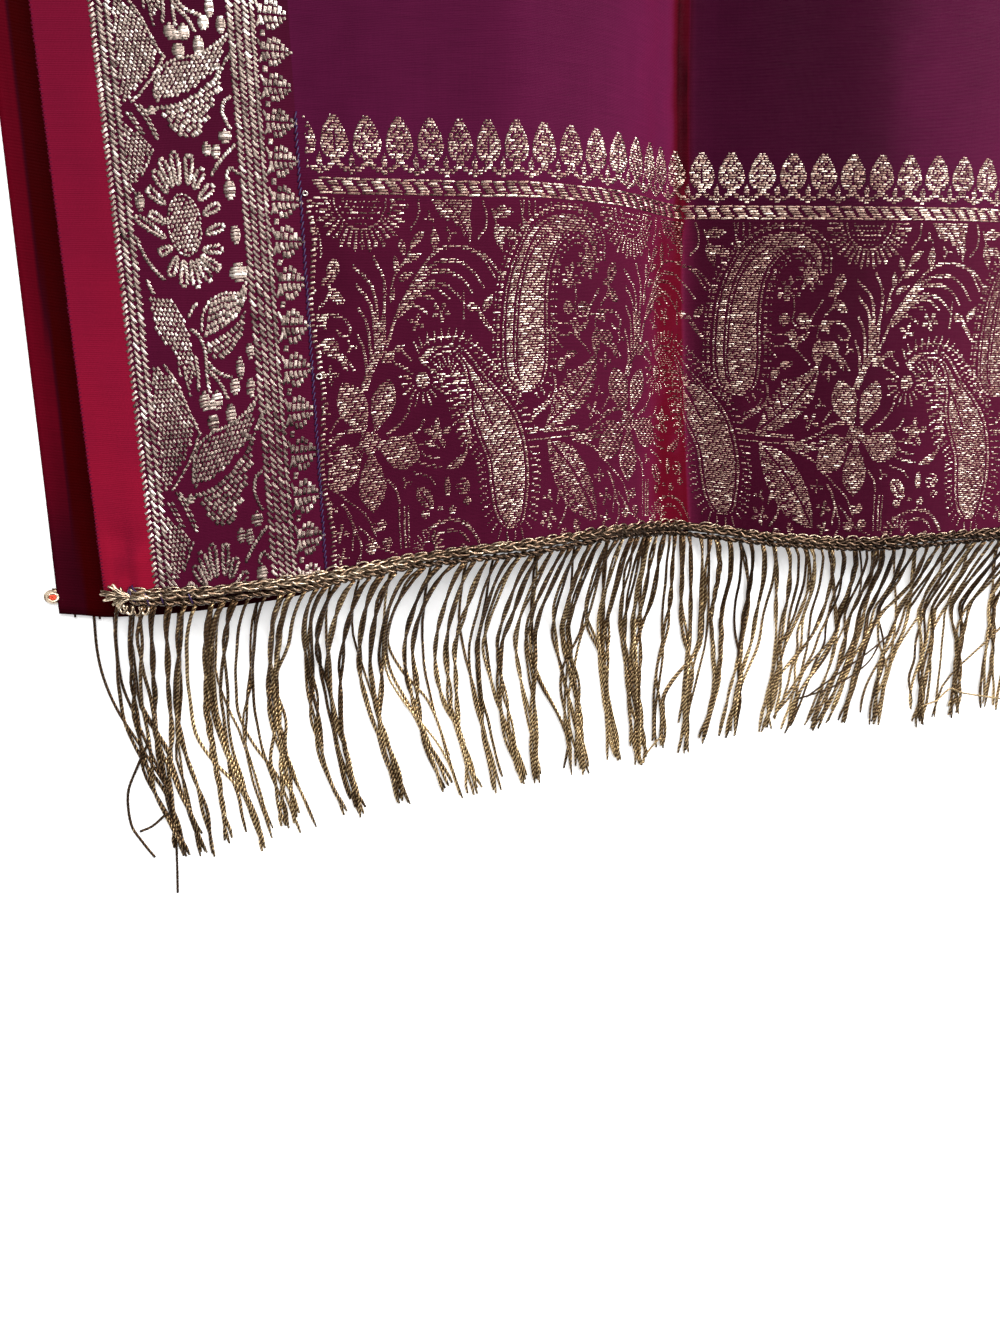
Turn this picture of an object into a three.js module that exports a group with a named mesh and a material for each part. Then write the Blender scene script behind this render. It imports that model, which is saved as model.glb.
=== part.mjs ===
// A woven silk shawl with metal-thread borders, folded once across its length and laid flat,
// both fringed ends together at the near (-Y) end. Millimetres, +Z up, +Y along the cloth.
import * as THREE from 'three';

// ---------------------------------------------------------------- driving sizes
const clothWidth = 920;        // selvage to selvage, along the cloth
const foldLength = 985;        // hem line to the fold, along the cloth
const selvageWidth = 16.5;     // plain strip along each long edge
const sideBorderWidth = 55.0;  // metal-thread border inside it
const endBorderLength = 139;   // metal-thread end border, from the braid line
const reliefHold = 220;        // the near ripple profile runs this far from the hem
const reliefMiddle = 560;      // where the middle profile is reached
const reliefFar = 900;         // where the far profile is reached
const foldEase = 70;           // the last stretch, which comes down to the rolled fold
const foldHeight = 6.4;        // top of the roll above the surface it lies on
const hemEase = 120;           // the hem's waviness dies out over this length
const wall = 1.2;              // cloth wall, measured straight down
const seam = 0.3;              // gap between neighbouring pieces
const braidLow = -2.8, braidHigh = 3.0, braidThick = 2.0;
const hemTuck = -1.4;          // the cloth ends here, under the braid
const skew = 15.8;             // how far the under layer shows beyond the left selvage at the hem
const underThin = 1.2, underLift = 2.3;   // the lower layer, and how far its braid lifts it
const underHemBand = 9.6;      // width of the lifted hem band
const knobOut = 4.2;           // the lower braid's end beyond the lower layer's edge
const fringeThick = 1.6, fringeLow = 1.8, underFringeThick = 1.4;
const originX = 377.44, originY = 441.6; // centre of the footprint in these measuring coordinates

// ripples: height of the cloth's face above the surface it lies on, across the width
const ripples = [
  { at: -71.5, near: 15.0, middle: 6.0, far: 5.0 },
  { at: -56, near: 18.5, middle: 7.5, far: 6.0 },
  { at: -30, near: 21.5, middle: 9.5, far: 7.0 },
  { at: 0, near: 23.2, middle: 12.0, far: 8.0 },
  { at: 30, near: 24.8, middle: 14.5, far: 9.5 },
  { at: 55, near: 27.8, middle: 17.0, far: 11.0 },
  { at: 71, near: 30.0, middle: 18.0, far: 12.0 },
  { at: 88, near: 28.0, middle: 17.0, far: 12.0 },
  { at: 105, near: 23.4, middle: 14.5, far: 11.0 },
  { at: 120, near: 16.6, middle: 11.5, far: 9.0 },
  { at: 133, near: 9.4, middle: 8.0, far: 7.5 },
  { at: 141, near: 6.2, middle: 5.9, far: 6.3 },
  { at: 145.5, near: 5.4, middle: 5.2, far: 6.0 },
  { at: 151, near: 6.0, middle: 5.7, far: 6.3 },
  { at: 163, near: 8.2, middle: 7.2, far: 7.0 },
  { at: 190, near: 12.6, middle: 10.5, far: 8.5 },
  { at: 220, near: 17.4, middle: 13.0, far: 10.0 },
  { at: 255, near: 21.0, middle: 13.5, far: 11.0 },
  { at: 290, near: 21.6, middle: 12.0, far: 11.5 },
  { at: 330, near: 17.6, middle: 10.0, far: 10.5 },
  { at: 362, near: 11.0, middle: 7.5, far: 8.0 },
  { at: 382, near: 6.8, middle: 5.6, far: 6.3 },
  { at: 388, near: 6.1, middle: 5.2, far: 6.0 },
  { at: 396, near: 7.0, middle: 6.2, far: 6.6 },
  { at: 420, near: 10.8, middle: 9.4, far: 8.2 },
  { at: 450, near: 14.4, middle: 13.0, far: 10.0 },
  { at: 490, near: 15.6, middle: 15.5, far: 11.0 },
  { at: 530, near: 13.4, middle: 14.0, far: 10.5 },
  { at: 570, near: 14.2, middle: 12.5, far: 11.0 },
  { at: 600, near: 19.0, middle: 15.5, far: 13.0 },
  { at: 617, near: 21.4, middle: 17.5, far: 14.0 },
  { at: 636, near: 18.2, middle: 14.4, far: 12.2 },
  { at: 680, near: 11.0, middle: 9.0, far: 9.5 },
  { at: 720, near: 8.8, middle: 7.8, far: 9.0 },
  { at: 755, near: 11.4, middle: 10.5, far: 10.0 },
  { at: 790, near: 10.0, middle: 10.0, far: 8.5 },
  { at: 812, near: 6.6, middle: 6.6, far: 6.8 },
  { at: 826, near: 4.6, middle: 4.6, far: 5.2 },
  { at: 838, near: 2.6, middle: 2.6, far: 3.4 },
  { at: 850, near: 1.9, middle: 1.9, far: 2.4 },
  { at: 900, near: 1.9, middle: 1.9, far: 2.4 },
];
// hem: how far the sewn braid line wanders from straight, how far the lower hem shows, and the fringe's reach
const hem = [
  { at: -92, line: -4.4, under: -10.6, tips: -104 },
  { at: -80, line: -4.4, under: -12.4, tips: -104 },
  { at: -71, line: -4.6, under: -13.8, tips: -104 },
  { at: -57, line: -6.3, under: -14.2, tips: -105 },
  { at: -42, line: -6.6, under: -13.9, tips: -105 },
  { at: -26, line: -5.2, under: -12.9, tips: -103 },
  { at: -9, line: -4.2, under: -11.3, tips: -101 },
  { at: 5, line: -2.4, under: -7.1, tips: -98 },
  { at: 30, line: 0.8, under: -2.2, tips: -95 },
  { at: 66, line: 3.4, under: 1.0, tips: -94 },
  { at: 105, line: 6.1, under: 2.4, tips: -94 },
  { at: 133, line: 4.8, under: 3.0, tips: -92 },
  { at: 153, line: 2.0, under: 2.6, tips: -91 },
  { at: 185, line: -3.0, under: 1.0, tips: -91 },
  { at: 220, line: -5.7, under: -0.4, tips: -93 },
  { at: 259, line: -5.2, under: -0.2, tips: -95 },
  { at: 285, line: -4.8, under: 0.4, tips: -96 },
  { at: 330, line: -0.6, under: 2.0, tips: -96 },
  { at: 388, line: 2.4, under: 2.8, tips: -93 },
  { at: 470, line: -0.6, under: 1.6, tips: -95 },
  { at: 560, line: -2.8, under: 1.0, tips: -97 },
  { at: 617, line: 1.8, under: 2.6, tips: -93 },
  { at: 700, line: 2.2, under: 3.4, tips: -92 },
  { at: 780, line: -1.4, under: 2.4, tips: -95 },
  { at: 850, line: -3.4, under: 2.0, tips: -97 },
  { at: 900, line: -3.4, under: 2.0, tips: -97 },
];

// ---------------------------------------------------------------- the cloth's surface
// a monotone curve through one named column of a table
function curve(rows, name) {
  const x = rows.map((r) => r.at), y = rows.map((r) => r[name]), n = x.length;
  const step = [], slope = [];
  for (let i = 0; i < n - 1; i++) { step.push(x[i + 1] - x[i]); slope.push((y[i + 1] - y[i]) / step[i]); }
  const m = new Array(n).fill(0);
  m[0] = slope[0]; m[n - 1] = slope[n - 2];
  for (let i = 1; i < n - 1; i++) {
    if (slope[i - 1] * slope[i] > 0) {
      const a = 2 * step[i] + step[i - 1], b = step[i] + 2 * step[i - 1];
      m[i] = (a + b) / (a / slope[i - 1] + b / slope[i]);
    }
  }
  return (q) => {
    const t0 = Math.min(Math.max(q, x[0]), x[n - 1]);
    let i = 0;
    while (i < n - 2 && t0 > x[i + 1]) i++;
    const t = (t0 - x[i]) / step[i];
    return y[i] * (1 + 2 * t) * (1 - t) ** 2 + m[i] * step[i] * t * (1 - t) ** 2
      + y[i + 1] * t * t * (3 - 2 * t) + m[i + 1] * step[i] * t * t * (t - 1);
  };
}
const ease = (a, b, q) => { const t = Math.min(Math.max((q - a) / (b - a), 0), 1); return t * t * (3 - 2 * t); };

// place across the width after a length u of cloth, for one ripple profile
function unroll(height) {
  const dx = 0.5, xs = [ripples[0].at], us = [0];
  while (us[us.length - 1] < clothWidth + 2) {
    const x = xs[xs.length - 1];
    us.push(us[us.length - 1] + Math.hypot(dx, height(x + dx) - height(x)));
    xs.push(x + dx);
  }
  return (u) => {
    if (u < 0) return xs[0] + u;
    let lo = 0, hi = us.length - 1;
    while (hi - lo > 1) { const mid = (lo + hi) >> 1; if (us[mid] <= u) lo = mid; else hi = mid; }
    return xs[lo] + (xs[hi] - xs[lo]) * (u - us[lo]) / (us[hi] - us[lo]);
  };
}
const heights = ['near', 'middle', 'far'].map((name) => curve(ripples, name));
const places = heights.map(unroll);
const hemLine = curve(hem, 'line'), underHem = curve(hem, 'under'), tipLine = curve(hem, 'tips');

function mix(three, v) {
  const toMiddle = ease(reliefHold, reliefMiddle, v), toFar = ease(reliefMiddle, reliefFar, v);
  return (three[0] * (1 - toMiddle) + three[1] * toMiddle) * (1 - toFar) + three[2] * toFar;
}
// the cloth's face: u from the left selvage, v from the braid line, both along the cloth
function face(u, v) {
  const px = places.map((p) => p(u));
  const x = mix(px, v);
  const z = mix(px.map((p, k) => heights[k](p)), v);
  const down = ease(foldLength - foldEase, foldLength, v);
  const y = v + hemLine(px[0]) * (1 - ease(0, hemEase, v));
  return [x, y, z * (1 - down) + foldHeight * down];
}

// ---------------------------------------------------------------- solids
const shawl = new THREE.Group();
shawl.name = 'shawl';

// a closed body between an upper and a lower sheet of points, upper[i][j], i along +X and j along +Y
function between(name, upper, lower, color, roughness, metalness) {
  const nu = upper.length, nv = upper[0].length, pos = [], idx = [];
  for (const sheet of [upper, lower]) for (const col of sheet) for (const p of col) pos.push(p[0] - originX, p[1] - originY, p[2]);
  const at = (s, i, j) => s * nu * nv + i * nv + j;
  const quad = (a, b, c, d) => idx.push(a, b, c, a, c, d);
  for (let i = 0; i < nu - 1; i++) for (let j = 0; j < nv - 1; j++) {
    quad(at(0, i, j), at(0, i + 1, j), at(0, i + 1, j + 1), at(0, i, j + 1));
    quad(at(1, i, j), at(1, i, j + 1), at(1, i + 1, j + 1), at(1, i + 1, j));
  }
  for (let i = 0; i < nu - 1; i++) {
    quad(at(1, i, 0), at(1, i + 1, 0), at(0, i + 1, 0), at(0, i, 0));
    quad(at(0, i, nv - 1), at(0, i + 1, nv - 1), at(1, i + 1, nv - 1), at(1, i, nv - 1));
  }
  for (let j = 0; j < nv - 1; j++) {
    quad(at(0, 0, j), at(0, 0, j + 1), at(1, 0, j + 1), at(1, 0, j));
    quad(at(1, nu - 1, j), at(1, nu - 1, j + 1), at(0, nu - 1, j + 1), at(0, nu - 1, j));
  }
  const g = new THREE.BufferGeometry();
  g.setAttribute('position', new THREE.Float32BufferAttribute(pos, 3));
  g.setIndex(idx);
  g.computeVertexNormals();
  const mesh = new THREE.Mesh(g, new THREE.MeshStandardMaterial({ color, roughness, metalness }));
  mesh.name = name;
  shawl.add(mesh);
}
const lift = (p, dz) => [p[0], p[1], p[2] + dz];

// stations: the shared lines across and along the cloth, so that neighbouring pieces stay parallel
const inner = selvageWidth + sideBorderWidth;
const edges = [selvageWidth, inner, clothWidth - inner, clothWidth - selvageWidth];
const across = new Set([0, clothWidth]);
for (const e of edges) { across.add(e - seam / 2); across.add(e + seam / 2); }
for (const r of ripples) {           // one line at each ripple's own place, and one half way
  let lo = 0, hi = clothWidth;
  for (let k = 0; k < 40; k++) { const mid = (lo + hi) / 2; if (places[0](mid) < r.at) lo = mid; else hi = mid; }
  if (lo > 3 && lo < clothWidth - 3 && edges.every((e) => Math.abs(lo - e) > 4)) across.add(lo);
}
const stations = [...across].sort((a, b) => a - b);
for (let k = stations.length - 1; k > 0; k--) {
  if (stations[k] - stations[k - 1] > 33) stations.splice(k, 0, (stations[k] + stations[k - 1]) / 2);
}
const rowsAlong = [14, 45, 90, endBorderLength - seam / 2, endBorderLength + seam / 2, reliefHold, 330, 445, 560, 700, 820,
  foldLength - foldEase, foldLength - foldEase / 2, foldLength];
const part = (list, lo, hi) => list.filter((q) => q > lo - 1e-6 && q < hi + 1e-6);

function panel(name, u0, u1, v0, v1, color, roughness, metalness) {
  const us = part(stations, u0, u1);
  const vs = [...new Set([v0, ...part(rowsAlong, v0, v1), v1])];
  const top = us.map((u) => vs.map((v) => face(u, v)));
  between(name, top, top.map((c) => c.map((p) => lift(p, -wall))), color, roughness, metalness);
}
const s2 = seam / 2;
panel('selvage_left', 0, selvageWidth - s2, hemTuck, foldLength, 0x8c1430, 0.5, 0.0);
panel('side_border_left', selvageWidth + s2, inner - s2, hemTuck, foldLength, 0x7a5b60, 0.4, 0.5);
panel('end_border', inner + s2, clothWidth - inner - s2, hemTuck, endBorderLength - s2, 0x73464e, 0.4, 0.4);
panel('field', inner + s2, clothWidth - inner - s2, endBorderLength + s2, foldLength, 0x591b3c, 0.45, 0.0);
panel('side_border_right', clothWidth - inner + s2, clothWidth - selvageWidth - s2, hemTuck, foldLength, 0x7a5b60, 0.4, 0.5);
panel('selvage_right', clothWidth - selvageWidth + s2, clothWidth, hemTuck, foldLength, 0x8c1430, 0.5, 0.0);

// the braid, sewn on along the hem line: made from the panels' own points, moved out
const braidUs = [-1.2, ...stations.filter((u, k) => k === 0 || u - stations[k - 1] > 1)];
const braidFoot = braidUs.map((u) => [braidLow, braidHigh].map((v) => lift(face(u, v), seam)));
between('braid_top', braidFoot.map((c) => c.map((p) => lift(p, braidThick))), braidFoot, 0x8a6c50, 0.35, 0.7);

// the fringe's reach: from under the braid down to the surface and along it to the tips
const drop = [{ out: 1.0, high: 0.0 }, { out: 0.38, high: 0.0 }, { out: 0.15, high: 0.6 }, { out: 0.0, high: 1.0 }];
const fringeTop = braidUs.map((u) => {
  const start = face(u, braidLow - seam);
  const y1 = tipLine(start[0]), z0 = Math.max(start[2] + seam, fringeLow + fringeThick);
  return drop.map((d) => [start[0], start[1] + (y1 - start[1]) * d.out,
    fringeLow + fringeThick + (z0 - fringeLow - fringeThick) * d.high]);
});
between('fringe_top', fringeTop, fringeTop.map((c) => c.map((p) => lift(p, -fringeThick))), 0x7d6038, 0.45, 0.6);

// the lower half of the folded cloth, one rounded body: thin where it shows at the left edge and the hem,
// filling the ripples under the top layer, and rolled up to the fold at the far end
const roll = [{ out: 0.45, high: 1.0 }, { out: 1.8, high: 0.9 }, { out: 2.8, high: 0.62 }, { out: 3.2, high: 0.35 }];
const edgeOut = (v) => skew * (1 - Math.min(Math.max(v, 0), foldLength) / foldLength);
const underCols = [{ in: 0, from: 'edge' }, { in: 2, from: 'edge' }, { in: 4, from: 'selvage' }, { in: 4.6, from: 'selvage' }];
const innerUs = stations.filter((u, k) => u > 8 && u < clothWidth - skew - 8 && u - stations[k - 1] > 1);
function underColumn(xOf, full) {
  const up = [], low = [];
  const add = (x, y, z1, z0) => { up.push([x, y, z1]); low.push([x, y, z0]); };
  const xh = xOf(0), y0 = underHem(xh), tuckY = Math.max(hemLine(xh) + 3, y0 + underHemBand + 1.2);
  const topZ = (v) => (full ? face(full(v), v)[2] - wall - seam - 0.2 : underThin + 0.6);
  const thin = underLift + underThin;
  add(xh, y0, thin, underLift);
  add(xh, y0 + underHemBand, thin, underLift);
  add(xh, y0 + underHemBand + 0.3, thin, 0);
  add(xh, tuckY, thin, 0);
  add(xh, tuckY + 0.6, full ? topZ(30) : thin, 0);
  for (const v of rowsAlong.filter((q) => q >= 45)) {
    if (v === foldLength || (v > 50 && v < reliefHold - 1)) continue;   // level along the cloth there
    add(xOf(v), full ? face(full(v), v)[1] : v, full ? topZ(v) : thin - (thin - topZ(v)) * ease(20, 120, v), 0);
  }
  const inside = full ? foldHeight - wall - seam - 0.2 : underThin + 0.6;
  add(xOf(foldLength), foldLength, inside, 0);
  add(xOf(foldLength), foldLength + 0.35, inside, 0);
  for (const r of roll) add(xOf(foldLength), foldLength + r.out, full ? foldHeight * r.high : Math.min(inside, foldHeight * r.high), r.out > 3 ? 1.2 : 0);
  return [up, low];
}
const columns = [];
columns.push(underColumn((v) => face(0, v)[0] - edgeOut(v) - 0.4, null));
columns.push(underColumn((v) => face(0, v)[0] - edgeOut(v) * 0.5, null));
columns.push(underColumn((v) => face(0, v)[0] + 4, null));
columns.push(underColumn((v) => face(0, v)[0] + 4.6, () => 4.6));
for (const u of innerUs) columns.push(underColumn((v) => face(u, v)[0], () => u));
columns.push(underColumn((v) => face(clothWidth - skew, v)[0] - skew * 0 - 2, () => clothWidth - skew - 2));
between('under_layer', columns.map((c) => c[0]), columns.map((c) => c[1]), 0x5a1020, 0.5, 0.0);

// its braid, face down under the hem, with the knotted end out at the left, and its fringe
const underXs = columns.map((c) => c[0][0][0]);
const leftX = underXs[0];
const bandXs = [leftX - knobOut, leftX - knobOut * 0.3, ...underXs.slice(1)].filter((x, k, a) => k === 0 || x - a[k - 1] > 1);
const underBraid = bandXs.map((x) => { const y = underHem(x); return [[x, y + 4.3, 2.0], [x, y + 9.3, 2.0]]; });
between('under_braid', underBraid, underBraid.map((c) => c.map((p) => [p[0], p[1], 0])), 0x8a6c50, 0.35, 0.7);
const underFringe = bandXs.slice(1).filter((x, k, a) => k < 8 || k % 2 === 0 || k === a.length - 1).map((x) => {
  const y = underHem(x) + 4.0, tip = tipLine(x) + 3;
  return [1, 0].map((t) => [x, y + (tip - y) * t, underFringeThick]);
});
between('under_fringe', underFringe, underFringe.map((c) => c.map((p) => [p[0], p[1], 0])), 0x7d6038, 0.45, 0.6);

export default shawl;
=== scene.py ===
import math

import bpy
import numpy as np
from mathutils import Matrix, Vector


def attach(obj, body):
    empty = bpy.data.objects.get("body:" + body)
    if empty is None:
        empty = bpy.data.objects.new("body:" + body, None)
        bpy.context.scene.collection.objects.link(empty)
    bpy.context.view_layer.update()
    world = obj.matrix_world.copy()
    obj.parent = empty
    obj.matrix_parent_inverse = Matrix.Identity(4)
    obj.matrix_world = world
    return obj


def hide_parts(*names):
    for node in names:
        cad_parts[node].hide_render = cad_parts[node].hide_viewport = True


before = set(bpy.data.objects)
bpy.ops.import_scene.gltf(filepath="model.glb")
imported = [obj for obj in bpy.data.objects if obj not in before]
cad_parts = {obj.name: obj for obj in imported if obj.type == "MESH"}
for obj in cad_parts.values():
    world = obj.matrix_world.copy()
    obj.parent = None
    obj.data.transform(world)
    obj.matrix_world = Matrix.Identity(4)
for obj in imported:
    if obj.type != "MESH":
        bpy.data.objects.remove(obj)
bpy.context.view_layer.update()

MM = 0.001
rng = np.random.default_rng(7)

# ------------------------------------------------------------------ sizes, mm (those of the CAD source)
CLOTH_W, FOLD_L = 920.0, 985.0
SELVAGE, SIDE = 16.5, 55.0
INNER = SELVAGE + SIDE
END_L = 139.0
HOLD, MIDDLE, FAR = 220.0, 560.0, 900.0
FOLD_EASE, FOLD_H, HEM_EASE = 70.0, 6.4, 120.0
SKEW = 15.8
OX, OY = 377.44, 441.6
ROLL_R = 2.75
ROLL_LEN = math.pi * ROLL_R

# across, near, middle, far: height of the cloth's face over the surface it lies on
RIPPLES = [
    (-71.5, 15.0, 6.0, 5.0), (-56, 18.5, 7.5, 6.0), (-30, 21.5, 9.5, 7.0), (0, 23.2, 12.0, 8.0),
    (30, 24.8, 14.5, 9.5), (55, 27.8, 17.0, 11.0), (71, 30.0, 18.0, 12.0), (88, 28.0, 17.0, 12.0),
    (105, 23.4, 14.5, 11.0), (120, 16.6, 11.5, 9.0), (133, 9.4, 8.0, 7.5), (141, 6.2, 5.9, 6.3),
    (145.5, 5.4, 5.2, 6.0), (151, 6.0, 5.7, 6.3), (163, 8.2, 7.2, 7.0), (190, 12.6, 10.5, 8.5),
    (220, 17.4, 13.0, 10.0), (255, 21.0, 13.5, 11.0), (290, 21.6, 12.0, 11.5), (330, 17.6, 10.0, 10.5),
    (362, 11.0, 7.5, 8.0), (382, 6.8, 5.6, 6.3), (388, 6.1, 5.2, 6.0), (396, 7.0, 6.2, 6.6),
    (420, 10.8, 9.4, 8.2), (450, 14.4, 13.0, 10.0), (490, 15.6, 15.5, 11.0), (530, 13.4, 14.0, 10.5),
    (570, 14.2, 12.5, 11.0), (600, 19.0, 15.5, 13.0), (617, 21.4, 17.5, 14.0), (636, 18.2, 14.4, 12.2),
    (680, 11.0, 9.0, 9.5), (720, 8.8, 7.8, 9.0), (755, 11.4, 10.5, 10.0), (790, 10.0, 10.0, 8.5),
    (812, 6.6, 6.6, 6.8), (826, 4.6, 4.6, 5.2), (838, 2.6, 2.6, 3.4), (850, 1.9, 1.9, 2.4), (900, 1.9, 1.9, 2.4),
]
# across, the braid line's wander, the lower hem, the fringe's reach
HEM = [
    (-92, -4.4, -10.6, -104), (-80, -4.4, -12.4, -104), (-71, -4.6, -13.8, -104), (-57, -6.3, -14.2, -105),
    (-42, -6.6, -13.9, -105), (-26, -5.2, -12.9, -103), (-9, -4.2, -11.3, -101), (5, -2.4, -7.1, -98),
    (30, 0.8, -2.2, -95), (66, 3.4, 1.0, -94), (105, 6.1, 2.4, -94), (133, 4.8, 3.0, -92), (153, 2.0, 2.6, -91),
    (185, -3.0, 1.0, -91), (220, -5.7, -0.4, -93), (259, -5.2, -0.2, -95), (285, -4.8, 0.4, -96),
    (330, -0.6, 2.0, -96), (388, 2.4, 2.8, -93), (470, -0.6, 1.6, -95), (560, -2.8, 1.0, -97),
    (617, 1.8, 2.6, -93), (700, 2.2, 3.4, -92), (780, -1.4, 2.4, -95), (850, -3.4, 2.0, -97), (900, -3.4, 2.0, -97),
]


def monotone(xs, ys):
    x, y = np.array(xs, float), np.array(ys, float)
    h = np.diff(x)
    d = np.diff(y) / h
    m = np.zeros(len(x))
    m[0], m[-1] = d[0], d[-1]
    for i in range(1, len(x) - 1):
        if d[i - 1] * d[i] > 0:
            a, b = 2 * h[i] + h[i - 1], h[i] + 2 * h[i - 1]
            m[i] = (a + b) / (a / d[i - 1] + b / d[i])

    def f(q):
        q = np.clip(np.asarray(q, float), x[0], x[-1])
        i = np.clip(np.searchsorted(x, q, side="left") - 1, 0, len(x) - 2)
        t = (q - x[i]) / h[i]
        return (y[i] * (1 + 2 * t) * (1 - t) ** 2 + m[i] * h[i] * t * (1 - t) ** 2
                + y[i + 1] * t * t * (3 - 2 * t) + m[i + 1] * h[i] * t * t * (t - 1))
    return f


def ease(a, b, q):
    t = np.clip((np.asarray(q, float) - a) / (b - a), 0, 1)
    return t * t * (3 - 2 * t)


AT = [r[0] for r in RIPPLES]
heights = [monotone(AT, [r[k] for r in RIPPLES]) for k in (1, 2, 3)]
HAT = [r[0] for r in HEM]
hem_line, under_hem, tip_line = [monotone(HAT, [r[k] for r in HEM]) for k in (1, 2, 3)]


def unroll(height):
    xs = np.arange(AT[0], AT[0] + CLOTH_W + 12, 0.5)
    us = np.concatenate([[0], np.cumsum(np.hypot(0.5, np.diff(height(xs))))])

    def f(u):
        u = np.asarray(u, float)
        return np.where(u < 0, xs[0] + u, np.interp(u, us, xs))
    return f


places = [unroll(h) for h in heights]


def mix3(three, v):
    a, b = ease(HOLD, MIDDLE, v), ease(MIDDLE, FAR, v)
    return (three[0] * (1 - a) + three[1] * a) * (1 - b) + three[2] * b


def wiggle(u, v, seed, wave, count=5):
    """Smooth uneven waves, about -1 to 1."""
    r = np.random.default_rng(seed)
    out = 0
    for k in range(count):
        a = r.uniform(0, 2 * math.pi)
        w = wave * r.uniform(0.7, 1.6)
        out = out + np.sin((u * math.cos(a) + v * math.sin(a)) * 2 * math.pi / w + r.uniform(0, 6.28))
    return out / math.sqrt(count * 2)


def fine(u, v):
    """The cloth's smaller creases and puckers, mm."""
    z = 0.35 * wiggle(u * 1.6, v * 0.5, 3, 70) * ease(0, 60, v)
    z = z + 0.22 * wiggle(u, v * 0.35, 4, 34) * (1 - ease(150, 330, v) * 0.4)
    near = np.exp(-np.clip(v, 0, None) / 11.0)
    z = z + near * (0.42 * np.sin(u * 2 * math.pi / 10.7 + 1.7 * np.sin(u / 41.0)) + 0.25 * np.sin(u * 2 * math.pi / 5.3 + 2 * np.sin(u / 23.0)))
    # soft puckers in the plain selvage near the hem, and the seam's own dip
    z = z + 1.3 * np.exp(-((u - 10.5) / 4.2) ** 2 - ((v - 11 - (u - 8) * 0.7) / 3.4) ** 2)
    z = z - 0.9 * np.exp(-((u - 7) / 5.5) ** 2 - ((v - 18) / 5.0) ** 2)
    z = z - 0.45 * np.exp(-((u - INNER + 0.2) / 1.3) ** 2) * (1 - ease(118, 140, v))
    z = z - 0.45 * np.exp(-((u - CLOTH_W + INNER - 0.2) / 1.3) ** 2) * (1 - ease(118, 140, v))
    # sharp storage creases
    for uc, s, lean in ((CREASES[0], -0.9, 0.004), (CREASES[1], -0.7, -0.003), (CREASES[2], 0.8, 0.002)):
        d = np.abs(u - uc - lean * (v - 80) - 0.35 * np.sin(v / 37.0))
        z = z + s * np.exp(-d / 1.9)
    return z


def u_at(x):
    lo, hi = 0.0, CLOTH_W
    for _ in range(40):
        mid = (lo + hi) / 2
        if float(places[0](mid)) < x:
            lo = mid
        else:
            hi = mid
    return lo


CREASES = [u_at(145.2), u_at(387.5), u_at(617.0)]


def edge_out(y):
    return SKEW * (1 - np.clip(y, 0, FOLD_L) / FOLD_L)


LEAN = monotone([0, 60, 118, 170, 300, 700, 985], [0, -4.0, -6.4, -8.0, -8.0, 0, 0])


def lean(x, v):
    """The deep crease runs a little aslant: how far it stands left of its place at the hem."""
    d = x - 145.2
    return LEAN(v) * np.exp(-(d / np.where(d < 0, 22.0, 60.0)) ** 2)


def face(u, v):
    """A point of the cloth's right side, mm. u from the left selvage, v from the braid line up to the fold,
    round the roll and back down the lower half."""
    u, v = np.broadcast_arrays(np.asarray(u, float), np.asarray(v, float))
    vt = np.minimum(v, FOLD_L)
    px = [p(u) for p in places]
    x = mix3(px, vt) + lean(px[0], vt)
    z = mix3([h(p) for h, p in zip(heights, px)], vt)
    down = ease(FOLD_L - FOLD_EASE, FOLD_L, vt)
    z = (z + fine(u, vt)) * (1 - down) + FOLD_H * down
    y = vt + hem_line(px[0]) * (1 - ease(0, HEM_EASE, vt))
    over = np.clip(v - FOLD_L, 0, ROLL_LEN)
    th = over / ROLL_R
    y = y + ROLL_R * np.sin(th)
    z = z - ROLL_R * (1 - np.cos(th))
    # the lower half, flat and turned a little, so that it shows beyond the left selvage at the hem
    back = np.clip(v - FOLD_L - ROLL_LEN, 0, None)
    yb = FOLD_L - back
    xb = AT[0] + u * (1 - 0.0005) - edge_out(yb) + 0.5 + 0.7 * np.sin(yb / 47.0 + 0.6) * ease(0, 120, back)
    part = ease(0, ROLL_LEN, over)
    x = np.where(v > FOLD_L, x * (1 - part) + xb * part, x)
    hemlift = 1 - ease(under_hem(xb) + 12, under_hem(xb) + 70, yb)
    zb = 0.9 + 0.25 * wiggle(u, yb, 9, 90) * (1 - hemlift) + 1.9 * hemlift
    settled = ease(0, 30, back)
    z = np.where(v > FOLD_L + ROLL_LEN, (FOLD_H - 2 * ROLL_R) * (1 - settled) + zb * settled, z)
    y = np.where(v > FOLD_L + ROLL_LEN, yb, y)
    return np.stack([x, y, z], -1)


def normal(u, v, e=0.6):
    a = face(np.asarray(u) + e, v) - face(np.asarray(u) - e, v)
    b = face(u, np.asarray(v) + e) - face(u, np.asarray(v) - e)
    n = np.cross(a, b)
    return n / np.linalg.norm(n, axis=-1, keepdims=True)


def to_world(p):
    p = np.asarray(p, float)
    return (p - np.array([OX, OY, 0])) * MM


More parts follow.
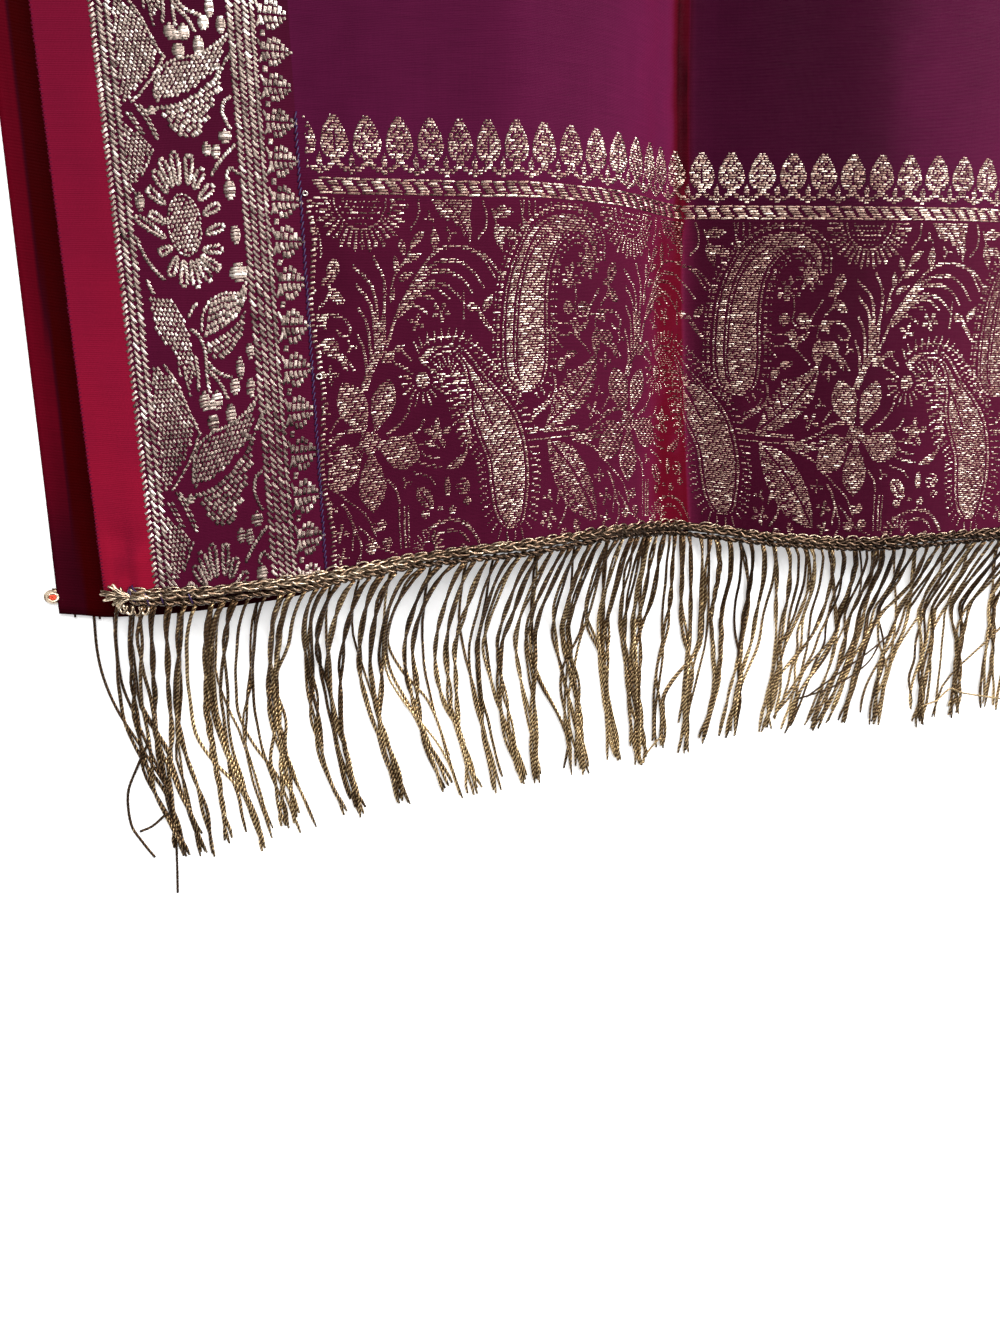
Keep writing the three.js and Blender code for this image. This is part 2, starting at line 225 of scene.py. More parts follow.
# ------------------------------------------------------------------ meshes
def build(name, verts, faces4=None, faces3=None, uv=None, attrs=None, smooth=True, world=False):
    """A mesh object from arrays: verts mm in measuring coordinates, quads, triangles, uv per vertex, float attributes per vertex."""
    verts = np.asarray(verts, float) if world else to_world(verts)
    f4 = np.zeros((0, 4), int) if faces4 is None else np.asarray(faces4, int).reshape(-1, 4)
    f3 = np.zeros((0, 3), int) if faces3 is None else np.asarray(faces3, int).reshape(-1, 3)
    me = bpy.data.meshes.new(name)
    me.vertices.add(len(verts))
    me.vertices.foreach_set("co", verts.astype(np.float32).ravel())
    loops = np.concatenate([f4.ravel(), f3.ravel()])
    me.loops.add(len(loops))
    me.loops.foreach_set("vertex_index", loops.astype(np.int32))
    me.polygons.add(len(f4) + len(f3))
    starts = np.concatenate([np.arange(len(f4)) * 4, len(f4) * 4 + np.arange(len(f3)) * 3])
    me.polygons.foreach_set("loop_start", starts.astype(np.int32))
    me.polygons.foreach_set("use_smooth", np.full(len(starts), smooth))
    me.update(calc_edges=True)
    if uv is not None:
        layer = me.uv_layers.new(name="UVMap")
        layer.data.foreach_set("uv", np.asarray(uv, np.float32)[loops].ravel())
    for k, val in (attrs or {}).items():
        a = me.attributes.new(k, "FLOAT", "POINT")
        a.data.foreach_set("value", np.asarray(val, np.float32).ravel())
    ob = bpy.data.objects.new(name, me)
    bpy.context.scene.collection.objects.link(ob)
    return ob


def grid_faces(nu, nv, base=0, flip=False):
    i, j = np.meshgrid(np.arange(nu - 1), np.arange(nv - 1), indexing="ij")
    a = base + i * nv + j
    q = np.stack([a, a + nv, a + nv + 1, a + 1], -1).reshape(-1, 4)
    return q[:, ::-1] if flip else q


def shell(name, us, vs, thick=0.55, sink=0.0, attrs=None):
    """A closed thin wall of cloth over the station lists us and vs."""
    us, vs = np.asarray(us, float), np.asarray(vs, float)
    U, V = np.meshgrid(us, vs, indexing="ij")
    n = normal(U, V)
    top = face(U, V) - n * sink
    low = top - n * thick
    nu, nv = len(us), len(vs)
    N = nu * nv
    flat_top, flat_low = top.reshape(-1, 3), low.reshape(-1, 3)
    idx = np.arange(N).reshape(nu, nv)
    f = [grid_faces(nu, nv), grid_faces(nu, nv, N, True)]
    vs_, take = [flat_top, flat_low], [np.arange(N), np.arange(N)]
    base = 2 * N
    for line, rev in ((idx[:, 0], True), (idx[:, -1], False), (idx[0, :], False), (idx[-1, :], True)):
        m = len(line)
        vs_ += [flat_top[line], flat_low[line]]
        take += [line, line]
        a = base + np.arange(m - 1)
        q = np.stack([a, a + 1, a + 1 + m, a + m], -1)
        f.append(q[:, ::-1] if rev else q)
        base += 2 * m
    take = np.concatenate(take)
    uv = np.stack([U, V], -1).reshape(-1, 2)[take]
    at = {k: fn(U, V).ravel()[take] for k, fn in (attrs or {}).items()}
    return build(name, np.concatenate(vs_), np.concatenate(f), uv=uv, attrs=at)


def frames(path):
    """Side and up directions along a path of points (k, 3)."""
    t = np.gradient(path, axis=0)
    t /= np.linalg.norm(t, axis=1, keepdims=True) + 1e-9
    up = np.tile([0.0, 0.0, 1.0], (len(path), 1))
    steep = np.abs(t[:, 2]) > 0.92
    up[steep] = [0.0, -1.0, 0.0]
    side = np.cross(t, up)
    side /= np.linalg.norm(side, axis=1, keepdims=True) + 1e-9
    return side, np.cross(side, t)


class Soup:
    """Collects many small shapes into one mesh."""

    def __init__(self):
        self.v, self.q, self.t, self.uv, self.a, self.n = [], [], [], [], [], 0

    def add(self, v, q=None, t=None, uv=None, rnd=None):
        v = np.asarray(v, float)
        self.v.append(v)
        if q is not None and len(q):
            self.q.append(np.asarray(q) + self.n)
        if t is not None and len(t):
            self.t.append(np.asarray(t) + self.n)
        self.uv.append(np.zeros((len(v), 2)) if uv is None else np.asarray(uv, float))
        self.a.append(np.full(len(v), rng.uniform()) if rnd is None else np.broadcast_to(rnd, (len(v),)).astype(float))
        self.n += len(v)

    def tube(self, path, r, sides=5, caps=True, rnd=None, flat=1.0, s0=0.0):
        path = np.asarray(path, float)
        k = len(path)
        r = np.broadcast_to(r, (k,))
        side, up = frames(path)
        ang = np.arange(sides) * 2 * math.pi / sides
        ring = (np.cos(ang)[None, :, None] * side[:, None, :] + flat * np.sin(ang)[None, :, None] * up[:, None, :]) * r[:, None, None]
        v = (path[:, None, :] + ring).reshape(-1, 3)
        s = s0 + np.concatenate([[0], np.cumsum(np.linalg.norm(np.diff(path, axis=0), axis=1))])
        uv = np.stack([np.repeat(s, sides), np.tile(np.arange(sides) / sides, k)], -1)
        if np.ndim(rnd) == 1:
            rnd = np.concatenate([np.repeat(rnd, sides), [rnd[0], rnd[-1]] if caps else []])
        i, j = np.meshgrid(np.arange(k - 1), np.arange(sides), indexing="ij")
        a, b = i * sides + j, i * sides + (j + 1) % sides
        q = np.stack([a, b, b + sides, a + sides], -1).reshape(-1, 4)[:, ::-1]
        tris = []
        if caps:
            v = np.concatenate([v, path[:1], path[-1:]])
            uv = np.concatenate([uv, [[s[0], 0.5]], [[s[-1], 0.5]]])
            for jj in range(sides):
                tris.append([k * sides, (jj + 1) % sides, jj][::-1])
                tris.append([k * sides + 1, (k - 1) * sides + jj, (k - 1) * sides + (jj + 1) % sides][::-1])
        self.add(v, q, tris, uv, rnd)

    def make(self, name, **kw):
        q = np.concatenate(self.q) if self.q else None
        t = np.concatenate(self.t) if self.t else None
        return build(name, np.concatenate(self.v), q, t, uv=np.concatenate(self.uv), attrs={"rnd": np.concatenate(self.a)}, **kw)


# ------------------------------------------------------------------ camera, floor, light
cam_data = bpy.data.cameras.new("camera")
cam = bpy.data.objects.new("camera", cam_data)
bpy.context.scene.collection.objects.link(cam)
cam_data.sensor_width, cam_data.lens = 36.0, 977.0 * 36 / 1333
cam_data.clip_start, cam_data.clip_end = 0.01, 20


def camera_matrix(pitch, yaw, roll, pos):
    p, y, r = map(math.radians, (pitch, yaw, roll))
    rx = Matrix.Rotation(p, 3, "X")
    ry = Matrix.Rotation(y, 3, "Y")
    rz = Matrix.Rotation(r, 3, "Z")
    m = (ry @ rx @ rz).to_4x4()
    m.translation = Vector(((pos[0] - OX) * MM, (pos[1] - OY) * MM, pos[2] * MM))
    return m


cam.matrix_world = camera_matrix(-14.37, -17.12, -1.42, (-41.8, 49.0, 352.2))
bpy.context.scene.camera = cam

floor_me = bpy.data.meshes.new("floor")
floor_me.from_pydata([(-6, -6, 0), (6, -6, 0), (6, 6, 0), (-6, 6, 0)], [], [(0, 1, 2, 3)])
floor = bpy.data.objects.new("floor", floor_me)
bpy.context.scene.collection.objects.link(floor)


def area(name, at, look, size, power, color=(1, 1, 1)):
    d = bpy.data.lights.new(name, "AREA")
    d.shape, d.size, d.energy, d.color = "SQUARE", size, power, color
    o = bpy.data.objects.new(name, d)
    bpy.context.scene.collection.objects.link(o)
    o.location = at
    o.rotation_mode = "QUATERNION"
    o.rotation_quaternion = (Vector(look) - Vector(at)).to_track_quat("-Z", "Y")
    return o


area("key", (1.30, 0.55, 1.60), (-0.20, -0.25, 0), 0.9, 70)
area("top", (-0.35, 0.95, 2.2), (-0.15, -0.15, 0), 1.5, 76)
area("fill", (-1.7, -1.5, 1.9), (-0.1, -0.3, 0), 1.4, 13)
world = bpy.data.worlds.new("world")
bpy.context.scene.world = world
world.use_nodes = True
world.node_tree.nodes["Background"].inputs[0].default_value = (1, 1, 1, 1)
world.node_tree.nodes["Background"].inputs[1].default_value = 0.13
bpy.context.scene.view_settings.view_transform = "Standard"
bpy.context.scene.view_settings.look = "None"


# ------------------------------------------------------------------ materials
def srgb(r, g, b):
    f = lambda c: c / 12.92 if c <= 0.04045 else ((c + 0.055) / 1.055) ** 2.4
    return (f(r / 255), f(g / 255), f(b / 255), 1)


class Mat:
    def __init__(self, name):
        self.m = bpy.data.materials.new(name)
        self.m.use_nodes = True
        self.t = self.m.node_tree
        self.b = self.t.nodes["Principled BSDF"]

    def node(self, kind, **kw):
        n = self.t.nodes.new(kind)
        for k, v in kw.items():
            if k.startswith("_"):
                n.inputs[int(k[1:])].default_value = v
            else:
                setattr(n, k, v)
        return n

    def link(self, a, b):
        self.t.links.new(a, b)

    def math(self, op, a, b=None, clamp=False):
        n = self.node("ShaderNodeMath", operation=op, use_clamp=clamp)
        for k, x in enumerate((a, b)):
            if x is None:
                continue
            if isinstance(x, (int, float)):
                n.inputs[k].default_value = x
            else:
                self.link(x, n.inputs[k])
        return n.outputs[0]

    def attr(self, name):
        return self.node("ShaderNodeAttribute", attribute_name=name).outputs["Fac"]

    def coords(self, which, scale):
        tc = self.node("ShaderNodeTexCoord")
        mp = self.node("ShaderNodeMapping")
        mp.inputs["Scale"].default_value = scale
        self.link(tc.outputs[which], mp.inputs[0])
        return mp.outputs[0]

    def noise(self, vec, scale, detail=3, rough=0.5):
        n = self.node("ShaderNodeTexNoise")
        n.inputs["Scale"].default_value, n.inputs["Detail"].default_value, n.inputs["Roughness"].default_value = scale, detail, rough
        self.link(vec, n.inputs["Vector"])
        return n.outputs["Fac"]

    def wave(self, vec, scale, direction="X", distort=0.0, dscale=1.0):
        n = self.node("ShaderNodeTexWave", bands_direction=direction)
        n.inputs["Scale"].default_value, n.inputs["Distortion"].default_value = scale, distort
        n.inputs["Detail"].default_value, n.inputs["Detail Scale"].default_value = 1.0, dscale
        self.link(vec, n.inputs["Vector"])
        return n.outputs["Fac"]

    def ramp(self, fac, stops):
        n = self.node("ShaderNodeValToRGB")
        e = n.color_ramp.elements
        while len(e) < len(stops):
            e.new(0.5)
        for k, (p, c) in enumerate(stops):
            e[k].position, e[k].color = p, c
        self.link(fac, n.inputs[0])
        return n.outputs["Color"]

    def mix(self, fac, a, b, blend="MIX"):
        n = self.node("ShaderNodeMix", data_type="RGBA", blend_type=blend)
        for sock, x in ((n.inputs[0], fac), (n.inputs[6], a), (n.inputs[7], b)):
            if isinstance(x, (int, float)):
                sock.default_value = x
            elif isinstance(x, tuple):
                sock.default_value = x
            else:
                self.link(x, sock)
        return n.outputs[2]

    def bump(self, height, dist, strength=1.0):
        n = self.node("ShaderNodeBump")
        n.inputs["Strength"].default_value, n.inputs["Distance"].default_value = strength, dist
        self.link(height, n.inputs["Height"])
        self.link(n.outputs[0], self.b.inputs["Normal"])

    def range(self, x, a, b, c, d):
        n = self.node("ShaderNodeMapRange")
        n.inputs[1].default_value, n.inputs[2].default_value, n.inputs[3].default_value, n.inputs[4].default_value = a, b, c, d
        self.link(x, n.inputs[0])
        return n.outputs[0]

    def set(self, **kw):
        for k, v in kw.items():
            self.b.inputs[k.replace("_", " ")].default_value = v


def silk(name, stops, rough=0.45, rib=0.45, sheen=0.02, tint=(1.0, 0.25, 0.45, 1), streak=0.10, dye_and_shade=False):
    """Shot silk: its colour runs along stops with a per-vertex attribute, which mostly holds painted light, shade and
    sheen worked out from the cloth's slope; fine ribs across, uneven weft.
    """
    m = Mat(name)
    uv = m.coords("UV", (1, 1, 1))
    base = m.ramp(m.attr("shot"), stops)
    if dye_and_shade:
        # a dye tint for the brocade's ground, then painted shade in the throat of the deep crease
        base = m.mix(m.attr("wine"), base, (0.95, 0.93, 0.71, 1), "MULTIPLY")
        base = m.mix(m.attr("dusk"), base, (0.34, 0.16, 0.20, 1), "MULTIPLY")
    cloud = m.noise(m.coords("UV", (0.02, 0.02, 1)), 1.0, 3)
    weft = m.noise(m.coords("UV", (0.06, 2.6, 1)), 1.0, 2, 0.6)
    warp = m.noise(m.coords("UV", (2.2, 0.03, 1)), 1.0, 1)
    val = m.math("ADD", m.math("MULTIPLY", m.math("SUBTRACT", cloud, 0.5), 0.30), m.math("MULTIPLY", m.math("SUBTRACT", weft, 0.5), streak * 4))
    val = m.math("ADD", val, m.math("MULTIPLY", m.math("SUBTRACT", warp, 0.5), streak * 1.6))
    hsv = m.node("ShaderNodeHueSaturation")
    m.link(base, hsv.inputs["Color"])
    m.link(m.math("MULTIPLY", m.math("ADD", val, 1.0), 0.585), hsv.inputs["Value"])
    m.link(hsv.outputs[0], m.b.inputs["Base Color"])
    ribs = m.wave(uv, 1.0 / rib * 0.31, "Y", 0.35, 2.0)
    warps = m.wave(uv, 1.0 / 0.38 * 0.31, "X", 0.4, 2.0)
    h = m.math("ADD", m.math("MULTIPLY", ribs, 0.7), m.math("MULTIPLY", warps, 0.35))
    h = m.math("ADD", h, m.math("MULTIPLY", weft, 0.8))
    m.bump(h, 0.00008, 0.8)
    m.link(m.range(m.math("ADD", weft, cloud), 0.6, 1.4, rough - 0.06, rough + 0.08), m.b.inputs["Roughness"])
    m.set(Sheen_Weight=sheen, Sheen_Roughness=0.4, Sheen_Tint=tint)
    m.set(Specular_IOR_Level=0.03, Specular_Tint=tint)
    return m.m


# the silk's ramp: from the painted shade of faces turned away, through lit magenta, to the painted crimson sheen and
# dark throat of the deep crease near 1
PURPLE = [(0.0, srgb(44, 3, 26)), (0.12, srgb(52, 5, 31)), (0.30, srgb(62, 9, 38)), (0.45, srgb(82, 18, 53)), (0.60, srgb(93, 22, 60)),
          (0.74, srgb(105, 26, 67)), (0.82, srgb(112, 24, 66)), (0.89, srgb(104, 9, 38)), (0.95, srgb(98, 7, 28)), (1.0, srgb(56, 2, 12))]
GROUND = PURPLE
RED = [(0.0, srgb(104, 18, 47)), (0.5, srgb(134, 20, 50)), (1.0, srgb(164, 22, 51))]
mat_field = silk("field_silk", PURPLE, 0.43, dye_and_shade=True)
mat_end = silk("end_ground", GROUND, 0.45, streak=0.12, dye_and_shade=True)
mat_side = silk("side_ground", [(0.0, srgb(50, 9, 27)), (0.5, srgb(71, 14, 39)), (1.0, srgb(92, 17, 49))], 0.45)
mat_red = silk("selvage_silk", RED, 0.5, rib=0.55, sheen=0.02, tint=(1, 0.2, 0.3, 1), streak=0.06)
# the under strip's colours: a painted shadow colour at 0, its lit red towards 1
mat_under = silk("under_silk", [(0.0, srgb(66, 1, 1)), (0.3, srgb(64, 6, 22)), (0.6, srgb(110, 7, 28)), (1.0, srgb(126, 8, 34))], 0.5, rib=0.9, tint=(1, 0.2, 0.3, 1))


def metal_thread(name, dull, mid, bright, rough=0.36, metallic=0.8, twist=None, ply=None):
    m = Mat(name)
    r = m.attr("rnd")
    sp = m.noise(m.coords("Object", (1, 1, 1)), 900.0, 2, 0.6)
    big = m.noise(m.coords("Object", (1, 1, 1)), 22.0, 2)
    f = m.math("ADD", m.math("MULTIPLY", r, 0.62), m.math("MULTIPLY", sp, 0.38))
    if twist:
        uvc = m.coords("UV", (1, 1, 1))
        sep = m.node("ShaderNodeSeparateXYZ")
        m.link(uvc, sep.inputs[0])
        ph = m.math("ADD", m.math("MULTIPLY", sep.outputs[0], 2 * math.pi / twist), m.math("MULTIPLY", sep.outputs[1], 4 * math.pi))
        tw = m.math("MULTIPLY", m.math("ADD", m.math("SINE", ph), 1.0), 0.5)
        low_end = m.range(sep.outputs[0], 12.0, 75.0, 0.20, 0.40)
        # painted glints: bright spots added to the thread's colour
        painted_glint = m.range(m.noise(m.coords("Object", (1, 1, 1)), 520.0, 1, 0.5), 0.62, 0.72, 0.0, 0.30)
        f = m.math("ADD", f, painted_glint)
        # the twist's light and dark stripes are painted highlights along the plies, laid over its bump; they are
        # stronger lower down
        f = m.math("ADD", m.math("MULTIPLY", f, 0.68), m.math("MULTIPLY", tw, low_end))
        m.bump(tw, 0.00025, 0.8)
    elif ply:
        uvc = m.coords("UV", (1, 1, 1))
        sep = m.node("ShaderNodeSeparateXYZ")
        m.link(uvc, sep.inputs[0])
        ph = m.math("ADD", m.math("MULTIPLY", sep.outputs[0], 2 * math.pi / ply), m.math("MULTIPLY", sep.outputs[1], 8 * math.pi))
        tw = m.math("MULTIPLY", m.math("ADD", m.math("SINE", ph), 1.0), 0.5)
        # the ply's stripes are painted highlights along the strands, laid over its bump
        f = m.math("ADD", m.math("MULTIPLY", f, 0.8), m.math("MULTIPLY", tw, 0.2))
        m.bump(m.math("ADD", m.math("MULTIPLY", tw, 0.5), sp), 0.00014, 0.7)
    else:
        fib = m.wave(m.coords("Object", (1, 1, 1)), 1500.0, "Y", 1.0, 3.0)
        m.bump(m.math("ADD", sp, m.math("MULTIPLY", fib, 0.3)), 0.00012, 0.7)
    f = m.math("ADD", f, m.math("MULTIPLY", m.math("SUBTRACT", big, 0.5), 0.35))
    col = m.ramp(f, [(0.22, dull), (0.5, mid), (0.78, bright)])
    m.link(col, m.b.inputs["Base Color"])
    m.link(m.range(sp, 0.3, 0.7, rough - 0.08, rough + 0.12), m.b.inputs["Roughness"])
    m.set(Metallic=metallic, Specular_IOR_Level=0.5)
    return m.m


mat_zari_end = metal_thread("zari_end", srgb(52, 32, 30), srgb(124, 99, 88), srgb(253, 240, 220), 0.28, 1.0)
mat_zari_side = metal_thread("zari_side", srgb(66, 54, 50), srgb(150, 134, 124), srgb(255, 248, 238), 0.27, 1.0)
mat_braid = metal_thread("metal_braid", srgb(40, 28, 22), srgb(112, 90, 72), srgb(244, 222, 192), 0.28, 0.95, ply=3.4)
mat_fringe = metal_thread("metal_fringe", srgb(46, 32, 20), srgb(92, 66, 42), srgb(238, 208, 156), 0.32, 0.85, twist=1.8)


def plain(name, color, rough=0.6):
    m = Mat(name)
    n = m.noise(m.coords("Object", (1, 1, 1)), 900.0, 3)
    m.link(m.mix(n, tuple(c * 0.7 for c in color[:3]) + (1,), tuple(min(1, c * 1.25) for c in color[:3]) + (1,)), m.b.inputs["Base Color"])
    m.bump(n, 0.0001, 0.6)
    m.set(Roughness=rough)
    return m.m


mat_stitch = plain("seam_thread", srgb(44, 16, 66), 0.5)
mat_floor = plain("floor", srgb(246, 246, 246), 0.9)
mat_floor.node_tree.nodes["Principled BSDF"].inputs["Emission Color"].default_value = (1, 1, 1, 1)
mat_floor.node_tree.nodes["Principled BSDF"].inputs["Emission Strength"].default_value = 0.42
floor_me.materials.append(mat_floor)


# ------------------------------------------------------------------ cloth
# painted light, shade and sheen of the silk across the cloth, where it is looked at most: x, beside the hem, in the
# field
PAINTED_LIGHT = [
    (-80, .38, .42), (0, .39, .43), (40, .42, .48), (71, .47, .56), (100, .53, .62), (114, .63, .72), (121, .76, .78), (127, .84, .80),
    (132, .88, .78), (137, .88, .77), (141, .88, .84), (144, .90, .98), (147, .52, .97), (151, .33, .26), (160, .28, .12), (180, .28, .12),
    (200, .28, .18), (214, .31, .28), (226, .39, .40), (236, .46, .48), (252, .51, .54), (266, .56, .60), (280, .60, .62), (300, .5, .52), (330, .44, .44),
]
painted_light_hem, painted_light_field = [monotone([t[0] for t in PAINTED_LIGHT], [t[k] for t in PAINTED_LIGHT]) for k in (1, 2)]


# painted light, shade and sheen: the silk is lighter and redder on slopes turned to +x and darker on slopes turned
# away; over the left part, up to about 330 mm across and 500 mm up, it blends into the table of painted light
def shot_of(U, V):
    n = normal(U, np.minimum(V, FOLD_L - 1))
    s = 0.44 + 0.5 * n[..., 0] - 0.10 * n[..., 1]
    x = places[0](U)
    up = ease(92, 134, V)
    t = painted_light_hem(x) * (1 - up) + painted_light_field(x) * up
    w = (1 - ease(290, 330, x)) * (1 - ease(300, 520, V))
    s = s * (1 - w) + t * w + 0.035 * wiggle(U, V * 0.5, 21, 45) + 0.02 * wiggle(U, V, 22, 12)
    return np.clip(s, 0, 1)


def side_tone(U, V):
    """The side border's ground deepens away from the hem."""
    return np.clip(0.20 + 0.55 * (1 - ease(100, 210, V)) + 0.035 * wiggle(U, V * 0.5, 21, 45) + 0.02 * wiggle(U, V, 22, 12), 0, 1)


def wine_of(U, V):
    """The brocade's ground is redder and deeper than the plain field above it."""
    return 1 - ease(112, 130, V) + 0 * U


def dusk_of(U, V):
    """The shade in the throat of the deep crease."""
    x = places[0](U)
    return (np.exp(-((x - 148.6) / 1.7) ** 2) + 0.42 * np.exp(-((x - 143.0) / 2.6) ** 2)) * ease(96, 140, V) * (1 - ease(300, 520, V))


def stations(lo, hi, step, creases=(), near=1.2, reach=5.0):
    base = list(np.linspace(lo, hi, max(2, int(round((hi - lo) / step)) + 1)))
    for c in creases:
        if lo + reach < c < hi - reach:
            base = [b for b in base if abs(b - c) > reach]
            base += list(np.arange(c - reach, c + reach + 0.01, near))
    return np.array(sorted(base))


V_NEAR = list(np.arange(0, 30, 1.5)) + list(np.arange(30, END_L - 1.5, 3.0)) + [END_L]
V_FAR = list(np.arange(END_L + 3.2, 350, 3.6)) + list(np.arange(352, FOLD_L - 8, 11.0)) + [FOLD_L]
V_ALL = V_NEAR + V_FAR
RIGHT = CLOTH_W

pieces = {}
# the selvages' colour: painted light from the cloth's slope, and brighter towards the hem
pieces["selvage_left"] = shell("selvage_left_silk", stations(0, SELVAGE, 1.5), V_ALL, 0.8, attrs={"shot": lambda U, V: np.clip(np.maximum(0.93 - 0.0036 * V, 0.22) + 0.3 * normal(U, V)[..., 0] + 0.05 * wiggle(U, V, 31, 20), 0, 1)})
pieces["selvage_right"] = shell("selvage_right_silk", stations(RIGHT - SELVAGE, RIGHT, 2.0), V_ALL, 0.8, attrs={"shot": lambda U, V: np.clip(np.maximum(0.93 - 0.0036 * V, 0.22) + 0.3 * normal(U, V)[..., 0] + 0.05 * wiggle(U, V, 31, 20), 0, 1)})
pieces["side_border_left"] = shell("side_border_left_silk", stations(SELVAGE, INNER, 2.4), V_ALL, attrs={"shot": side_tone})
pieces["side_border_right"] = shell("side_border_right_silk", stations(RIGHT - INNER, RIGHT - SELVAGE, 3.0), V_ALL, attrs={"shot": side_tone})
pieces["end_border"] = shell("end_border_silk", stations(INNER, RIGHT - INNER, 3.6, CREASES), V_NEAR, attrs={"shot": shot_of, "wine": wine_of, "dusk": dusk_of})
pieces["field"] = shell("field_silk", stations(INNER, RIGHT - INNER, 4.6, CREASES), [END_L] + V_FAR, attrs={"shot": shot_of, "wine": wine_of, "dusk": dusk_of})
for k, mat, sl in (("selvage_left", mat_red, "selvage_silk"), ("selvage_right", mat_red, "selvage_silk"), ("side_border_left", mat_side, "side_border_brocade"),
                   ("side_border_right", mat_side, "side_border_brocade"), ("end_border", mat_end, "end_border_brocade"), ("field", mat_field, "field_silk")):
    pieces[k].data.materials.append(mat)
    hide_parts(k)
    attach(pieces[k], "root")


def under_point(u, w):
    """The folded-back half: w 0 at the roll, 1 at its hem."""
    u, w = np.broadcast_arrays(np.asarray(u, float), np.asarray(w, float))
    x0 = mix3([p(u) for p in places], FOLD_L)
    span = 1 - np.clip(w, 0, 1)
    left = mix3([p(np.zeros_like(u)) for p in places], FOLD_L * span) - SKEW * (1 - span) - 0.1
    right = mix3([p(np.full_like(u, CLOTH_W - SKEW - 2.4)) for p in places], FOLD_L * span)
    xw = left + (right - left) * u / CLOTH_W
    x = x0 * (1 - ease(0, 0.03, w)) + xw * ease(0, 0.03, w)
    hem = under_hem(x)
    y = FOLD_L + (hem - FOLD_L) * w
    lift = 1 - ease(hem + 9, hem + 40, y)
    z = 0.95 + 0.12 * np.sin(x / 9.0) * np.sin(y / 60.0) + lift * (1.15 + 0.25 * np.sin(x / 3.1 + 0.8 * np.sin(x / 17)))
    z = z * ease(-0.01, 0.02, w) + (FOLD_H - 2 * ROLL_R) * (1 - ease(-0.01, 0.02, w))
    return np.stack([x, y, z], -1)


us = np.concatenate([np.arange(0, 24, 1.6), stations(24, CLOTH_W, 8.0)])
ws = np.concatenate([np.linspace(0.004, 0.62, 36), np.linspace(0.64, 0.95, 20), np.linspace(0.956, 1, 14)])
vr = np.linspace(FOLD_L, FOLD_L + ROLL_LEN, 9)
U, V = np.meshgrid(us, vr, indexing="ij")
roll = face(U, V)
U2, W2 = np.meshgrid(us, ws, indexing="ij")
low = under_point(U2, W2)
top = np.concatenate([roll, low], 1)
gu, gv = np.gradient(top, axis=0), np.gradient(top, axis=1)
nn = np.cross(gu, gv)
nn /= np.linalg.norm(nn, axis=-1, keepdims=True)
inner = top - nn * 0.5
nu, nv = top.shape[:2]
N = nu * nv
idx = np.arange(N).reshape(nu, nv)
fl = [grid_faces(nu, nv), grid_faces(nu, nv, N, True)]
for line, rev in ((idx[:, 0], True), (idx[:, -1], False), (idx[0, :], False), (idx[-1, :], True)):
    a, b = line[:-1], line[1:]
    q = np.stack([a, b, b + N, a + N], -1)
    fl.append(q[:, ::-1] if rev else q)
UU = np.concatenate([U, U2], 1)
VV = np.concatenate([V, FOLD_L + ROLL_LEN + W2 * FOLD_L], 1)
# painted shadow: the strip is darkened within about 8 mm of the upper layer's left edge, where that edge shades it; it
# is also darker towards its hem
lip = top[..., 0] - mix3([p(np.zeros_like(UU)) for p in places], np.clip(top[..., 1], 0, FOLD_L))
shade = 0.62 + 0.05 * wiggle(UU, VV, 41, 25) - 0.6 * ease(-8.0, -7.2, lip + 0.5 * np.sin(top[..., 1] / 60.0)) * (1 - ease(20, 60, UU))
shade = shade - 0.32 * np.clip(shade / 0.62, 0, 1) * (1 - ease(2, 58, top[..., 1]))
under = build("under_half_silk", np.concatenate([top.reshape(-1, 3), inner.reshape(-1, 3)]), np.concatenate(fl),
              uv=np.concatenate([np.stack([UU, VV], -1).reshape(-1, 2)] * 2), attrs={"shot": np.concatenate([shade.ravel()] * 2)})
under.data.materials.append(mat_under)
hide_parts("under_layer")
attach(under, "root")
pieces["under_layer"] = under


# ------------------------------------------------------------------ brocade: metal floats laid as small raised threads
def warp_columns(c):
    xs = [-1, 0, 4, 8, 12, 16, 20, 26, 45, 74]
    return COLUMN * np.asarray(c, float) + INNER + column_shift(np.clip(c, -1, 74))


COLUMN = 10.5
column_shift = monotone([-1, 0, 4, 8, 12, 16, 20, 26, 45, 74], [2, 1.2, -1.2, -6.4, -8.6, -9.7, -8.4, -7.0, -3, 0])


